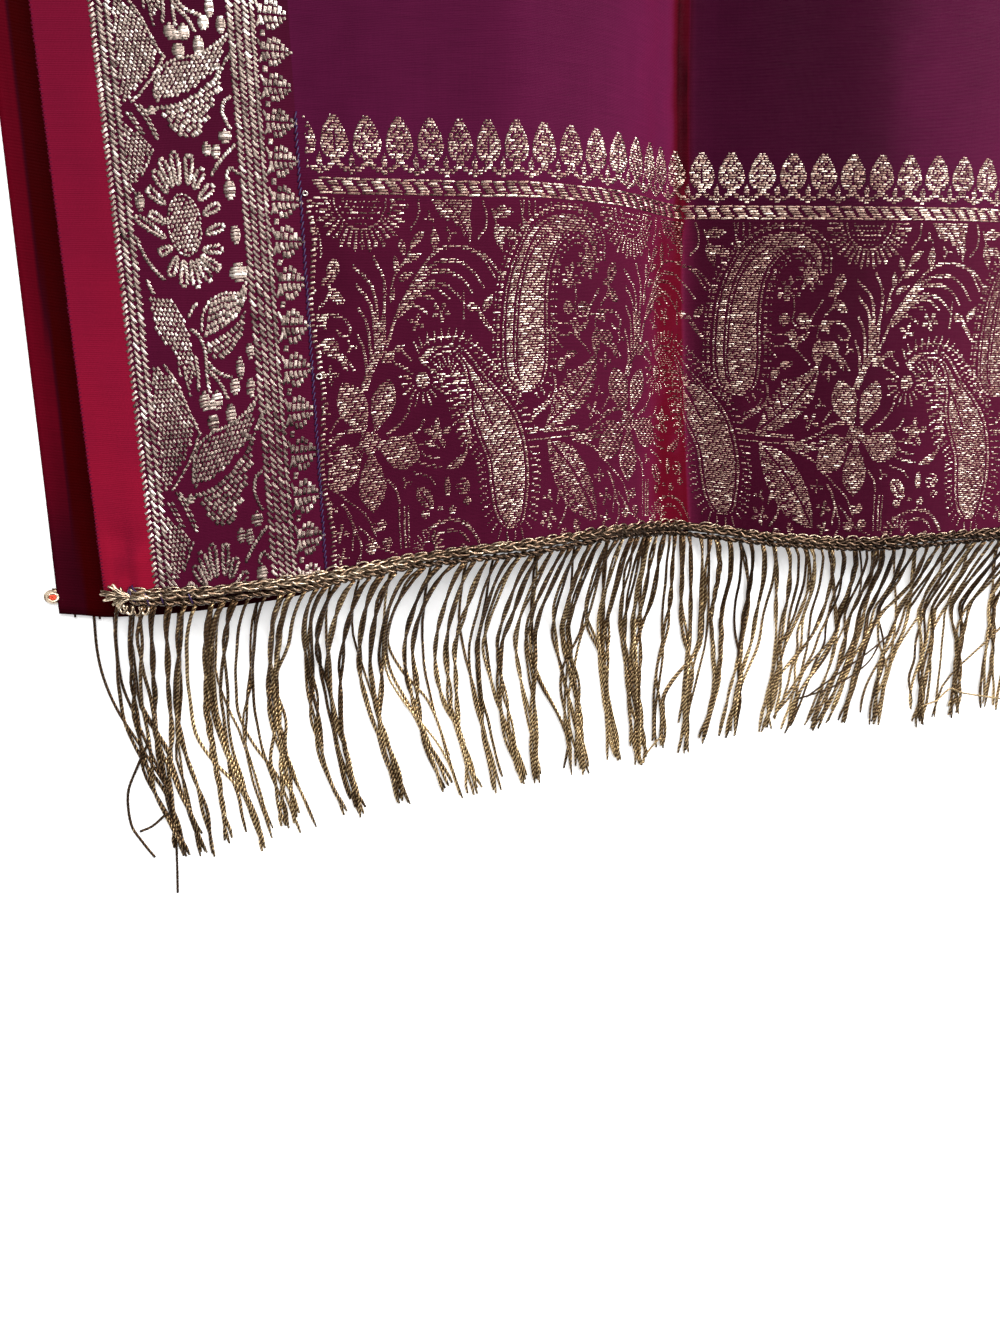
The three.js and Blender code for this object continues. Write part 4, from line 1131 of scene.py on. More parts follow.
def sprigs(cell, ys, dx, per, least=3.4):
    """Small flowers, trefoils and dots in the widest bare places of a repeat, none under the rope."""
    wide = per * dx
    fy, fx = np.nonzero(cell)
    keep_ = (np.arange(len(fx)) % 3) == 0
    fx, fy = fx[keep_] * dx, ys[fy[keep_]]
    gx, gy = np.meshgrid(np.arange(0, wide, 1.5), np.arange(5.0, 113.0, 1.6))
    gx, gy = gx.ravel(), gy.ravel()
    away = np.full(len(gx), 1e9)
    for k in range(0, len(fx), 400):
        ex = np.abs(gx[:, None] - fx[None, k:k + 400])
        ex = np.minimum(ex, wide - ex)
        away = np.minimum(away, np.sqrt(ex ** 2 + (gy[:, None] - fy[None, k:k + 400]) ** 2).min(1))
    away = np.minimum(away, np.minimum(gy - 2.0, 116.0 - gy))
    X, Y = np.meshgrid(np.arange(per) * dx, ys)
    r = np.random.default_rng(61)
    for _ in range(70):
        k = int(np.argmax(away))
        if away[k] < least:
            break
        cx, cy, room = gx[k], gy[k], min(away[k] - 1.0, 5.4)
        X_ = (X - cx + wide / 2) % wide - wide / 2
        Y_ = Y - cy
        turn = r.uniform(0, 2 * math.pi)
        petals = 5 if room > 3.6 else (4 if room > 2.9 else 3)
        for j in range(petals):
            a = turn + 2 * math.pi * j / petals
            px, py = 0.62 * room * math.cos(a), 0.62 * room * math.sin(a)
            U_, V_ = (X_ - px) * math.cos(a) + (Y_ - py) * math.sin(a), -(X_ - px) * math.sin(a) + (Y_ - py) * math.cos(a)
            cell |= (U_ / (0.36 * room)) ** 2 + (V_ / (0.25 * room)) ** 2 <= 1
        cell |= (X_ / (0.18 * room + 0.25)) ** 2 + (Y_ / (0.18 * room + 0.3)) ** 2 <= 1
        ex = np.abs(gx - cx)
        ex = np.minimum(ex, wide - ex)
        away = np.minimum(away, np.maximum(np.sqrt(ex ** 2 + (gy - cy) ** 2) - room, 0))


def fill_poly(ch, poly, on=True):
    lo, hi = poly.min(0), poly.max(0)
    w = ch.win(lo[0] - 0.5, hi[0] + 0.5, lo[1] - 0.5, hi[1] + 0.5)
    X, Y = ch.x[w], ch.y[w]
    inside = np.zeros(X.shape, bool)
    for (x0, y0), (x1, y1) in zip(poly, np.roll(poly, -1, 0)):
        if y0 == y1:
            continue
        cond = ((y0 > Y) != (y1 > Y)) & (X < (x1 - x0) * (Y - y0) / (y1 - y0) + x0)
        inside ^= cond
    ch.put(w, inside, on)


def along(path, pitch):
    seg = np.linalg.norm(np.diff(path, axis=0), axis=1)
    s = np.concatenate([[0], np.cumsum(seg)])
    q = np.arange(pitch / 2, s[-1], pitch)
    p = np.stack([np.interp(q, s, path[:, k]) for k in (0, 1)], -1)
    t = np.stack([np.interp(q + 0.4, s, path[:, k]) for k in (0, 1)], -1) - np.stack([np.interp(q - 0.4, s, path[:, k]) for k in (0, 1)], -1)
    t /= np.linalg.norm(t, axis=1, keepdims=True) + 1e-9
    return p, t


def halo(ch, path, off, pitch, r, side):
    p, t = along(path, pitch)
    n = np.stack([-t[:, 1], t[:, 0]], -1) * side
    for (x, y), (nx, ny) in zip(p, n):
        ch.ell(x + nx * off, y + ny * off, r * 1.25, r)
        ch.ell(x + nx * (off + 1.7), y + ny * (off + 1.7), r * 0.8, r * 0.8)


def spikes(ch, path, off, length, pitch, w, side):
    p, t = along(path, pitch)
    n = np.stack([-t[:, 1], t[:, 0]], -1) * side
    for (x, y), (nx, ny), (tx, ty) in zip(p, n, t):
        ch.line([(x + nx * off, y + ny * off), (x + nx * length + tx * 0.9, y + ny * length + ty * 0.9)], w * 1.15, w * 0.8)


def rows_to_dashes(mask, ys, dx, length=2.42, gap=0.25, shortest=0.5, seed=5):
    """Cuts each row's runs into floats on a staggered lattice; returns arrays x0, x1, y."""
    r = np.random.default_rng(seed)
    X0, X1, Y = [], [], []
    step = length + gap
    for j, y in enumerate(ys):
        row = np.concatenate([[False], mask[j], [False]])
        d = np.diff(row.astype(int))
        st, en = np.where(d == 1)[0] * dx, np.where(d == -1)[0] * dx
        off = (j % 3) * step / 3 + (0.4 if j % 2 else 0)
        for a, b in zip(st, en):
            if b - a < shortest:
                continue
            k0, k1 = math.ceil((a - off + 0.55) / step), math.floor((b - off - 0.55) / step)
            long_run = 117.0 < y < 121.8
            cuts = [a] + ([a + 4.6 * k_ for k_ in range(1, int((b - a) / 4.6))] if long_run else [off + k * step + r.normal(0, 0.07) for k in range(k0, k1 + 1)]) + [b]
            for p, q in zip(cuts[:-1], cuts[1:]):
                if q - p > 0.35:
                    X0.append(p + gap / 2)
                    X1.append(q - gap / 2)
                    Y.append(y)
    return np.array(X0), np.array(X1), np.array(Y)


cell, chart_ys, per = end_border_chart()
reps = 8
full = np.tile(cell, (1, reps))[:, :int(74 * COLUMN / 0.25)]
# the threads that stand clear beside the seam, and the ragged first column
x0, x1, yy = rows_to_dashes(full, chart_ys, 0.25)
keep = (x0 > 0.6) & (x1 < 74 * COLUMN - 0.6) & (yy > 1.2)
x0, x1, yy = x0[keep], x1[keep], yy[keep]
jit = np.random.default_rng(11)
du = jit.normal(0, 0.08, len(x0))
dv = jit.normal(0, 0.05, len(x0))
tilt = jit.normal(0, 0.05, len(x0))
A = np.stack([warp_columns((x0 + du) / COLUMN), yy + dv - tilt], -1)
B = np.stack([warp_columns((x1 + du) / COLUMN), yy + dv + tilt], -1)
band = yy > 116.6
wv = np.where(band, 0.74, 0.61) * jit.uniform(0.85, 1.15, len(x0))
hv = np.where(band, 0.46, 0.36) * jit.uniform(0.8, 1.2, len(x0))
mid_u = (A[:, 0] + B[:, 0]) / 2
# painted light and shade on the end border's metal, by place across the cloth: darker around the deep crease and right
# of it, lighter beyond
painted_zari_light = monotone([-90, 30, 55, 70, 85, 100, 114, 128, 139, 144, 150, 180, 215, 239, 250, 330, 1000],
               [-.02, -.01, .01, .02, -.04, -.05, .04, .03, -.15, -.15, -.11, -.12, -.09, .03, .06, .04, .02])(places[0](mid_u))
zari_body = pillows("end_border_zari", A[~band], B[~band], wv[~band], hv[~band], mat_zari_end, "end_border", bias=painted_zari_light[~band], spread=0.15)
zari_band = pillows("end_border_zari_band", A[band], B[band], wv[band], hv[band], mat_zari_end, "end_border", bias=painted_zari_light[band] * 0.6 + np.where(yy[band] > 121.8, 0.06, 0.02), spread=0.13)
print("end border floats", len(x0))


# ------------------------------------------------------------------ the side borders' brocade
TRI_V = [1.5, 15, 28.5, 41.5, 54, 66.5, 79, 91.5, 103, 114, 125.5, 136, 145.5, 155, 164.5]


def v_of_k(k):
    k = np.asarray(k, float)
    inside = np.interp(k, np.arange(-1, 14), TRI_V)
    return np.where(k > 13, TRI_V[-1] + (k - 13) * 11.2, np.where(k < -1, TRI_V[0] + (k + 1) * 13.5, inside))


def k_of_v(v):
    v = np.asarray(v, float)
    inside = np.interp(v, TRI_V, np.arange(-1, 14))
    return np.where(v > TRI_V[-1], 13 + (v - TRI_V[-1]) / 11.2, inside)


K_MM = 11.2
PERIOD = 9


def chart_pts(pts):
    pts = np.asarray(pts, float)
    return np.stack([pts[:, 0], k_of_v(pts[:, 1]) * K_MM], -1)


class Bars:
    def __init__(self):
        self.a, self.b, self.w, self.h = [], [], [], []

    def bar(self, a, b, w=1.0, h=0.55):
        self.a.append(a), self.b.append(b), self.w.append(w), self.h.append(h)

    def cord(self, pts, pitch=1.5, slant=32.0, L=1.45, w=0.95, h=0.55, smooth=True):
        path = smooth_path(pts) if smooth else np.asarray(pts, float)
        p, t = along(path, pitch)
        c, s = math.cos(math.radians(slant)), math.sin(math.radians(slant))
        for q, d in zip(p, t):
            e = np.array([d[0] * c - d[1] * s, d[0] * s + d[1] * c]) * L / 2
            self.bar(q - e, q + e, w, h)


def inside_poly(poly, x, y):
    hit = False
    for (x0, y0), (x1, y1) in zip(poly, np.roll(poly, -1, 0)):
        if (y0 > y) != (y1 > y) and x < (x1 - x0) * (y - y0) / (y1 - y0) + x0:
            hit = not hit
    return hit


def strokes_in(bars, poly, mid, direction, pitch, w, h, cut=None):
    """Parallel threads inside a shape, from points along its midrib out to its edge."""
    p, _ = along(smooth_path(mid), pitch)
    d = np.array(direction, float) / math.hypot(*direction)
    for q in p:
        s0, s1 = None, None
        for s in np.arange(0.3, 16, 0.25):
            x, y = q + d * s
            if inside_poly(poly, x, y):
                s0 = s if s0 is None else s0
                s1 = s
            elif s0 is not None:
                break
        if s0 is None or s1 - s0 < 0.7:
            continue
        n = 1 if cut is None else max(1, int(round((s1 - s0) / cut)))
        e = np.linspace(s0, s1, n + 1)
        for a, b in zip(e[:-1], e[1:]):
            bars.bar(q + d * (a + 0.12), q + d * (b - 0.12), w, h)


def grain_in(bars, poly, pitch=0.98, step=1.42, L=1.3, angle=-50.0, w=1.04, h=0.5):
    lo, hi = poly.min(0), poly.max(0)
    c, s = math.cos(math.radians(angle)), math.sin(math.radians(angle))
    mid, R = (lo + hi) / 2, np.linalg.norm(hi - lo) / 2 + 2
    for j in range(int(-R / pitch), int(R / pitch) + 1):
        for i in range(int(-R / step), int(R / step) + 1):
            a, r = (i + (j % 2) * 0.5) * step, j * pitch
            x, y = mid[0] + a * c - r * s, mid[1] + a * s + r * c
            if inside_poly(poly, x, y) and inside_poly(poly, x + c * 0.5, y + s * 0.5) and inside_poly(poly, x - c * 0.5, y - s * 0.5):
                bars.bar(np.array([x - c * L / 2, y - s * L / 2]), np.array([x + c * L / 2, y + s * L / 2]), w, h)


def blob(cx, cy, rx, ry, n=14):
    t = np.linspace(0, 2 * math.pi, n, endpoint=False)
    return np.stack([cx + rx * np.cos(t), cy + ry * np.sin(t)], -1)


def side_motif():
    b = Bars()
    P = chart_pts
    w1 = P([(21.8, 167.5), (25.5, 166), (28.8, 163.5), (31.6, 157.6), (34.0, 151.9), (30.6, 147), (26.6, 142.8), (23.4, 139.6), (21.8, 140)])
    grain_in(b, w1)
    b.cord(P([(26.2, 167.2), (29.6, 162.4), (32.4, 156.6), (35.0, 151.8)]), 1.25, 18, 1.5, 0.95)
    b.cord(P([(35.0, 151.8), (31.4, 146.6), (27.4, 142.2), (25.0, 140.2)]), 1.25, -18, 1.5, 0.95)
    w2 = P([(21.6, 134.5), (24.4, 132.6), (27.2, 130.6), (29.4, 128.2), (27.4, 124.2), (25.2, 120), (22.8, 117), (21.4, 118)])
    grain_in(b, w2)
    b.cord(P([(25.6, 120.2), (27.8, 124.4), (29.8, 128.0)]), 1.25, 25, 1.4, 0.85)
    for q in (-0.55, 0.55):
        b.cord(P([(26.4 + q, 139.6), (28.6 + q, 136.0), (31.2 + q * 0.5, 130.4)]), 1.5, 22, 1.5, 0.85)
        b.cord(P([(23.6 + q, 137.4), (25.0 + q, 135), (27.0 + q * 0.4, 131.6)]), 1.5, 22, 1.4, 0.8)
    b.cord(P([(22.4, 117.4), (23.2, 115.2), (22.6, 113)]), 1.4, 20, 1.3, 0.9)
    b.cord(P([(26.8, 138.9), (29.2, 137.4), (32.6, 138.9)]), 1.35, 25, 1.5, 1.1)
    # the big leaf: a grained half above its rib, slanting threads below, their tips notched
    rib = [(31.6, 139.6), (34.6, 140.2), (38.6, 141.4), (43.2, 143.8), (47.6, 147.4), (51.2, 151.8), (53.6, 156.8)]
    up = P([(x - 0.2, y + 0.5) for x, y in rib] + [(52.4, 157.6), (49.6, 155.4), (46.4, 153.6), (42.4, 152.2), (38.4, 151.2), (35.0, 149.4), (32.6, 146.4), (31.4, 142.8)])
    grain_in(b, up, 0.98, 1.5, 1.4, 60)
    b.cord(P([(31.4, 141.4), (32.4, 146.2), (34.8, 149.6), (38.4, 151.6), (42.6, 152.6), (46.6, 154.0), (50.0, 156.0), (53.2, 158.6)]), 1.25, 30, 1.5, 1.0)
    dn = P([(x + 0.2, y - 0.5) for x, y in rib] + [(52.2, 150.4), (50.4, 146.2), (50.8, 143.6), (48.4, 142.2), (48.6, 139.6), (46.2, 138.2), (46.8, 135.6), (44.2, 134.8), (44.0, 132.2), (41.4, 130.6), (38.0, 131.4), (34.8, 134.4), (33.0, 137.2)])
    strokes_in(b, dn, P([(x, y - 0.2) for x, y in rib]), (0.72, -0.70), 1.34, 1.3, 0.62, 2.0)
    strokes_in(b, dn, P([(32.0, 138.6), (32.4, 135.4), (34.6, 132.8)]), (0.72, -0.70), 1.34, 1.3, 0.62, 2.0)
    # sunflower
    disc = P(blob(36.4, 107.2, 4.4, 8.0))
    grain_in(b, disc, 0.98, 1.42, 1.25, 62)
    b.cord(P(list(blob(36.4, 107.2, 4.7, 8.3, 20)) + [(41.1, 107.2)]), 1.25, 12, 1.15, 0.8)
    for (u1, v1), (u0, v0) in (((26.7, 116.9), (31.3, 112.6)), ((28.9, 121.9), (32.4, 115.6)), ((31.4, 125.4), (34.0, 117.4)), ((35.2, 127.2), (35.8, 118.0)),
                               ((39.6, 126.6), (38.6, 118.2)), ((43.0, 122.8), (40.2, 117.2)), ((45.8, 118.2), (41.3, 114.0)), ((47.2, 113.2), (42.2, 110.0)),
                               ((48.0, 107.2), (42.4, 105.0)), ((47.0, 100.8), (41.0, 100.4)), ((45.6, 95.2), (40.2, 98.8)), ((42.6, 91.8), (39.0, 98.0)),
                               ((38.6, 90.0), (37.3, 97.4)), ((34.6, 90.4), (35.2, 97.6)), ((30.6, 93.2), (33.4, 98.6)), ((28.2, 99.4), (32.2, 101.2)), ((26.6, 110.4), (31.0, 107.6)), ((22.4, 109.4), (30.4, 103.6))):
        a, c = P([(u0, v0), (u1, v1)])
        d = (c - a) / np.linalg.norm(c - a)
        n = np.array([-d[1], d[0]])
        L = np.linalg.norm(c - a)
        m = a + d * L * 0.6
        b.cord([a + n * 0.3, m + n * 0.92, c - d * 0.7 + n * 0.7], 1.02, 34, 1.75, 1.0, 0.55)
        b.cord([a - n * 0.3, m - n * 0.92, c - d * 0.7 - n * 0.7], 1.02, -34, 1.75, 1.0, 0.55)
        b.bar(c - d * 0.3 - n * 0.85, c - d * 0.3 + n * 0.85, 1.2, 0.5)
    # buds, berries, stems
    for u, v, rx, ry in ((24.2, 113.2, 1.5, 2.4), (49, 67.5, 1.4, 2.9), (52.5, 72.5, 1.4, 2.2), (47, 62.5, 1.7, 2.2), (51.8, 62, 1.5, 2.6), (45, 54.5, 1.7, 3.0), (39.3, 52.7, 1.9, 2.3),
                         (37.4, 58.8, 1.9, 2.4), (41.2, 58.8, 1.9, 2.4), (39.3, 57.6, 2.2, 1.2), (51, 94.2, 2.9, 2.5), (51, 104.8, 1.6, 2.7), (50.4, 117.2, 1.9, 2.8), (44.8, 128.0, 1.5, 2.0), (47.4, 127.6, 1.5, 2.2),
                         (50.4, 131.6, 2.1, 1.9), (49.6, 47.6, 1.3, 0.9), (30.2, 137.9, 1.5, 1.1)):
        cu_, cy_ = P([(u, v)])[0]
        for yy_ in np.arange(-ry + 0.35, ry, 0.86):
            half = rx * math.sqrt(max(0.05, 1 - (yy_ / ry) ** 2))
            b.bar((cu_ - half, cy_ + yy_ - 0.12), (cu_ + half, cy_ + yy_ + 0.12), 1.0, 0.55)
    for pts in ([(22.0, 104), (23.6, 99.6), (26.0, 95.4), (28.8, 92.4)], [(45.4, 121), (48.6, 125.2), (53.2, 129.6)], [(52.2, 133.6), (50.4, 137.6), (50.9, 141), (53.6, 142.6)], [(49.6, 120.4), (51.2, 123), (53.4, 121.4)],
                [(35.2, 79.2), (37.8, 76.6), (39.0, 71.8), (38.8, 66), (39.2, 60.8)], [(39.2, 70), (42.2, 66.6), (46.2, 65.0)], [(39.0, 68), (42.4, 63.8), (44.4, 59.2)], [(36.0, 71.6), (36.2, 66), (35.6, 62)],
                [(52.4, 49.6), (54.4, 53.6), (57.0, 56.4)], [(50.9, 96.4), (53.6, 92.0)], [(24.0, 92.4), (24.6, 90.4), (25.4, 88.6)]):
        b.cord(P(pts), 0.98, 34, 1.55, 1.0)
    bud = P([(24.0, 88.2), (27.2, 88.6), (30.4, 87.4), (32.6, 84.6), (34.4, 81.2), (34.2, 78.4), (35.8, 74.0), (35.2, 68), (34.0, 61.6), (32.8, 65), (31.4, 70), (27.4, 75.2), (24.8, 79.8), (24.0, 84.6)])
    grain_in(b, bud, 0.98, 1.42, 1.25, -58)
    b.cord(P([(34.8, 82.2), (36.4, 84.6), (38.6, 86.2)]), 1.2, 24, 1.4, 1.1)
    for pts in ([(30.6, 70.2), (30.9, 66.2)], [(32.0, 69.0), (33.2, 60.6)], [(34.6, 70), (35.4, 66.2)]):
        b.cord(P(pts), 1.3, 20, 1.3, 0.85)
    rib2 = [(38.6, 75.4), (42.0, 76.6), (46.0, 78.8), (49.6, 81.6), (52.6, 86.4)]
    cu = P([(x - 0.2, y + 0.45) for x, y in rib2] + [(53.0, 91.0), (50.2, 88.4), (46.4, 88.2), (42.2, 86.6), (39.4, 83.2), (38.4, 79.0)])
    strokes_in(b, cu, P(rib2), (0.30, 0.95), 1.28, 1.25, 0.56, 1.9)
    b.cord(P([(38.4, 78.0), (39.4, 83.2), (42.2, 86.8), (46.4, 88.4), (50.4, 88.6), (53.0, 91.4)]), 1.2, 30, 1.4, 0.95)
    cd = P([(x + 0.2, y - 0.45) for x, y in rib2] + [(52.0, 82.2), (51.0, 77.0), (48.0, 72.8), (43.8, 69.8), (40.4, 71.6)])
    strokes_in(b, cd, P(rib2), (0.74, -0.68), 1.3, 1.25, 0.58, 2.0)
    strokes_in(b, cd, P([(39.0, 74.4), (40.0, 71.6)]), (0.74, -0.68), 1.3, 1.25, 0.58, 2.0)
    return b


def side_border(name, mirror):
    m = side_motif()
    a, c, w, h = np.array(m.a), np.array(m.b), np.array(m.w), np.array(m.h)
    A, C, W, H = [], [], [], []
    for n in range(-2, 10):
        off = n * PERIOD * K_MM
        A.append(a + [0, off]), C.append(c + [0, off]), W.append(w), H.append(h)
    # plain bands on both sides of it and the leaf-shaped points
    top = 86.6 * K_MM
    e = Bars()
    for y in np.arange(-12, top, 1.5):
        e.bar((15.7, y - 0.55), (17.5, y + 0.65), 1.05, 0.5)
    for u0, off in ((17.7, 0.0), (19.9, 0.7)):
        for y in np.arange(-12, top, 1.72):
            e.bar((u0, y + 1.05 + off), (u0 + 1.95, y - 1.0 + off), 1.12, 0.58)
    for u0, off in ((53.6, 0.0), (55.8, 0.8), (58.0, 0.3), (60.2, 1.0)):
        for y in np.arange(-12, top, 1.72):
            e.bar((u0, y + 1.05 + off), (u0 + (1.95 if u0 < 60 else 1.4), y - 1.0 + off), 1.12, 0.56)
    for k in range(-1, 87):
        y = k * K_MM
        # the leaf-shaped points: strokes run out from a middle line, longest near the band
        for j, (Lu, Ld) in enumerate(((2.9, 3.5), (4.3, 4.7), (4.7, 4.7), (4.0, 3.8), (2.8, 2.5), (1.5, 1.3))):
            u0 = 63.0 + 1.42 * j
            for s, L in ((1, Lu), (-1, Ld)):
                cuts_ = (0, 0.54, 1) if L > 3.6 else (0, 1)
                for q0, q1 in zip(cuts_[:-1], cuts_[1:]):
                    a0, a1 = L * q0 + 0.06, L * q1 - 0.08
                    e.bar((u0 + a0 * 0.22, y + s * (0.14 + a0 * 0.97)), (u0 + a1 * 0.22, y + s * (0.14 + a1 * 0.97)), 1.34, 0.62)
        e.bar((70.7, y - 0.05), (72.05, y + 0.05), 1.15, 0.55)
        for s in (1, -1):
            e.bar((61.9, y + s * 3.9), (63.2, y + s * 1.2), 1.1, 0.52)
        e.bar((62.9, y + 6.05), (64.5, y + 5.85), 1.15, 0.52)
        e.bar((62.7, y + 5.15), (64.3, y + 4.95), 1.15, 0.52)
    A.append(np.array(e.a, float)), C.append(np.array(e.b, float)), W.append(np.array(e.w)), H.append(np.array(e.h))
    A, C, W, H = np.concatenate(A), np.concatenate(C), np.concatenate(W), np.concatenate(H)
    r = np.random.default_rng(17 + mirror)
    jitter = r.normal(0, 0.07, (len(A), 2))
    A, C = A + jitter, C + jitter + r.normal(0, 0.05, (len(A), 2))
    for P in (A, C):
        P[:, 1] = v_of_k(P[:, 1] / K_MM)
    mid = (A + C) / 2
    ok = (A[:, 1].clip(max=C[:, 1] * 0 + 1e9) > 1.6) & (C[:, 1] > 1.6) & (mid[:, 1] < FOLD_L - 2.5) & (np.minimum(A[:, 0], C[:, 0]) > SELVAGE - 1.2) & (np.maximum(A[:, 0], C[:, 0]) < INNER + 0.6)
    A, C, W, H = A[ok], C[ok], W[ok], H[ok]
    if mirror:
        A[:, 0], C[:, 0] = CLOTH_W - A[:, 0], CLOTH_W - C[:, 0]
    W, H = W * r.uniform(0.88, 1.12, len(W)), H * r.uniform(0.8, 1.2, len(W))
    print(name, len(A))
    m = (A + C) / 2
    mu = CLOTH_W - m[:, 0] if mirror else m[:, 0]
    # painted light and shade on the metal: beyond the outer band the floats are darker low down by the hem, where the
    # cloth tilts from the light; the inner band is darker along its middle reach and lighter above it
    bias = -0.26 * ease(21, 26, mu) * (1 - ease(46, 58, m[:, 1])) * (0.35 + 0.65 * ease(4, 16, m[:, 1]))
    bias = bias + ease(50, 56, mu) * (0.13 * ease(158, 176, m[:, 1]) - 0.20 * ease(30, 60, m[:, 1]) * (1 - ease(155, 172, m[:, 1]))) - 0.05 * (1 - ease(50, 56, mu)) * (1 - ease(110, 130, m[:, 1]))
    return pillows(name, A, C, W, H, mat_zari_side, "side_border_left", bias=bias)


zari_left = side_border("side_border_left_zari", 0)
zari_right = side_border("side_border_right_zari", 1)

# zigzag stitches of metal along the seam with the end border, and the seam's own thread
zz = Bars()
r_ = np.random.default_rng(23)
for y in np.arange(3, 116, 1.55):
    sway = 1.1 * math.sin(y / 7.5) + r_.normal(0, 0.2)
    zz.bar((INNER + 2.0 + sway - 0.85, y - 0.1), (INNER + 2.0 + sway + 0.85, y + 0.15), 0.7, 0.42)
zari_seam = pillows("seam_zari", np.array(zz.a), np.array(zz.b), np.array(zz.w), np.array(zz.h), mat_zari_end, "end_border")
st = Soup()
for k, y in enumerate(np.arange(2, 137, 1.9)):
    a, c = (INNER - 0.55 + 0.15 * math.sin(k), y), (INNER + 0.35, y + 2.3)
    q = np.linspace(0, 1, 5)
    u, v = a[0] + (c[0] - a[0]) * q, a[1] + (c[1] - a[1]) * q
    st.tube(face(u, v) + normal(u, v) * (0.12 + 0.28 * np.sin(math.pi * q))[:, None], 0.24, 5, rnd=r_.uniform())
# two small loops pulled out of the weave
for u0, y0, rr in ((INNER + 1.9, 64.0, 0.8), (INNER + 1.4, 116.6, 0.6)):
    t = np.linspace(-0.4, 5.9, 15)
    u, v = u0 + rr * np.cos(t), y0 + rr * 0.9 * np.sin(t)
    st.tube(face(u, v) + normal(u, v) * (0.45 + 0.25 * np.sin(t))[:, None], 0.27, 5, rnd=2.0)
seam = st.make("seam_stitches")
seam.data.materials.append(mat_stitch)
seam.data.materials.append(mat_zari_side)
a_ = np.zeros(len(seam.data.polygons), np.int32)
rn = np.concatenate(st.a)
vi = np.zeros(len(seam.data.loops), np.int32)
seam.data.loops.foreach_get("vertex_index", vi)
ls = np.zeros(len(seam.data.polygons), np.int32)
seam.data.polygons.foreach_get("loop_start", ls)
a_[rn[vi[ls]] > 1.5] = 1
seam.data.polygons.foreach_set("material_index", a_)
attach(seam, "root")

ed = Bars()
r_ = np.random.default_rng(29)
for y in np.arange(3, FOLD_L - 20, 1.12):
    ed.bar((-0.28 + r_.normal(0, 0.07), y - 0.1), (0.75, y + 0.12), 0.72, 0.16)
edge = pillows("selvage_left_edge", np.array(ed.a), np.array(ed.b), np.array(ed.w), np.array(ed.h), mat_red, "selvage_left")


# ------------------------------------------------------------------ braid
def on_cloth(u, v, h):
    u, v, h = np.broadcast_arrays(np.asarray(u, float), np.asarray(v, float), np.asarray(h, float))
    p = face(u, v)
    n = normal(u, np.maximum(v, 1.2))
    return p + n * h[..., None]


def plait(soup, u0, u1, v0, h0, L, wide, high, r, step, place, sides=5):
    u = np.arange(u0, u1, step)
    amp = 1 + 0.10 * np.sin(u / 9.3) + 0.08 * np.sin(u / 3.7 + 1)
    warpu = u + 0.8 * np.sin(u / 13.0) + 0.4 * np.sin(u / 5.1)
    for k in range(3):
        t = 2 * math.pi * (warpu / L + k / 3)
        p = place(u, v0 + wide * amp * np.sin(t) + 0.22 * np.sin(u / 17.0), h0 + high * np.sin(2 * t))
        soup.tube(p, r * (1 + 0.05 * np.sin(u * 1.3 + k)), sides, rnd=0.40 + 0.1 * k - 0.32 * ease(90, 290, u) + 0.06 * np.sin(u / 7.0 + k), flat=0.9)


def twisted(soup, u0, u1, v0, h0, pitch, rad, r, step, place, sides=5):
    u = np.arange(u0, u1, step)
    for k in range(2):
        t = 2 * math.pi * (u / pitch + 0.25 * np.sin(u / 11.0)) + math.pi * k
        soup.tube(place(u, v0 + rad * np.cos(t) + 0.2 * np.sin(u / 14.0 + 1), h0 + rad * 0.8 * np.sin(t)), r, sides, rnd=0.20 + 0.2 * k - 0.22 * ease(90, 290, u))


br = Soup()
plait(br, 8.0, CLOTH_W - 0.5, 1.6, 0.9, 15.3, 1.12, 0.46, 0.80, 1.05, on_cloth, 6)
twisted(br, 8.0, CLOTH_W - 0.5, -1.12, 0.35, 5.6, 0.62, 0.62, 0.95, on_cloth)
r_ = np.random.default_rng(31)
for k, u0 in enumerate(np.arange(9, CLOTH_W - 6, 5.15)):
    u0 += r_.normal(0, 0.35)
    span, rise = 5.0 + r_.normal(0, 0.5), 1.5 + 0.35 * r_.normal()
    t = np.linspace(0, math.pi, 8)
    u = u0 + span / 2 * (1 - np.cos(t))
    br.tube(on_cloth(u, 2.3 + max(0.6, rise) * np.sin(t), 0.45 + 0.55 * np.sin(t)), 0.29, 4, rnd=0.8, caps=False)
braid = br.make("hem_braid")
braid.data.materials.append(mat_braid)
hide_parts("braid_top")
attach(braid, "root")

# its cut start at the left: ends splayed over each other, held by a few dark stitches
fr = Soup()
for k in range(12):
    q = k / 11
    ang = -1.15 + 2.3 * q
    reach = 7.6 - 2.6 * abs(q - 0.5) + r_.uniform(-1.6, 1.2)
    u_out, v_out = 7.6 - reach * math.cos(ang), 0.4 + reach * 0.62 * math.sin(ang) * -1
    path = smooth_path([(u_out, v_out), (7.6 - reach * 0.45 * math.cos(ang * 0.8), 0.6 - reach * 0.3 * math.sin(ang)), (8.2 + r_.uniform(-0.6, 0.6), 0.8 + 0.9 * (0.5 - q)), (13.0 + r_.uniform(-1, 2), 0.9 + 0.7 * (0.5 - q))], 6)
    hgt = 0.75 + 0.75 * np.sin(np.linspace(0.1, 2.6, len(path)) + r_.uniform(-0.3, 0.3)) + 0.35 * (k % 3)
    fr.tube(on_cloth(path[:, 0], path[:, 1], np.maximum(0.35, hgt)), 0.5, 6, rnd=r_.uniform(0.35, 1))
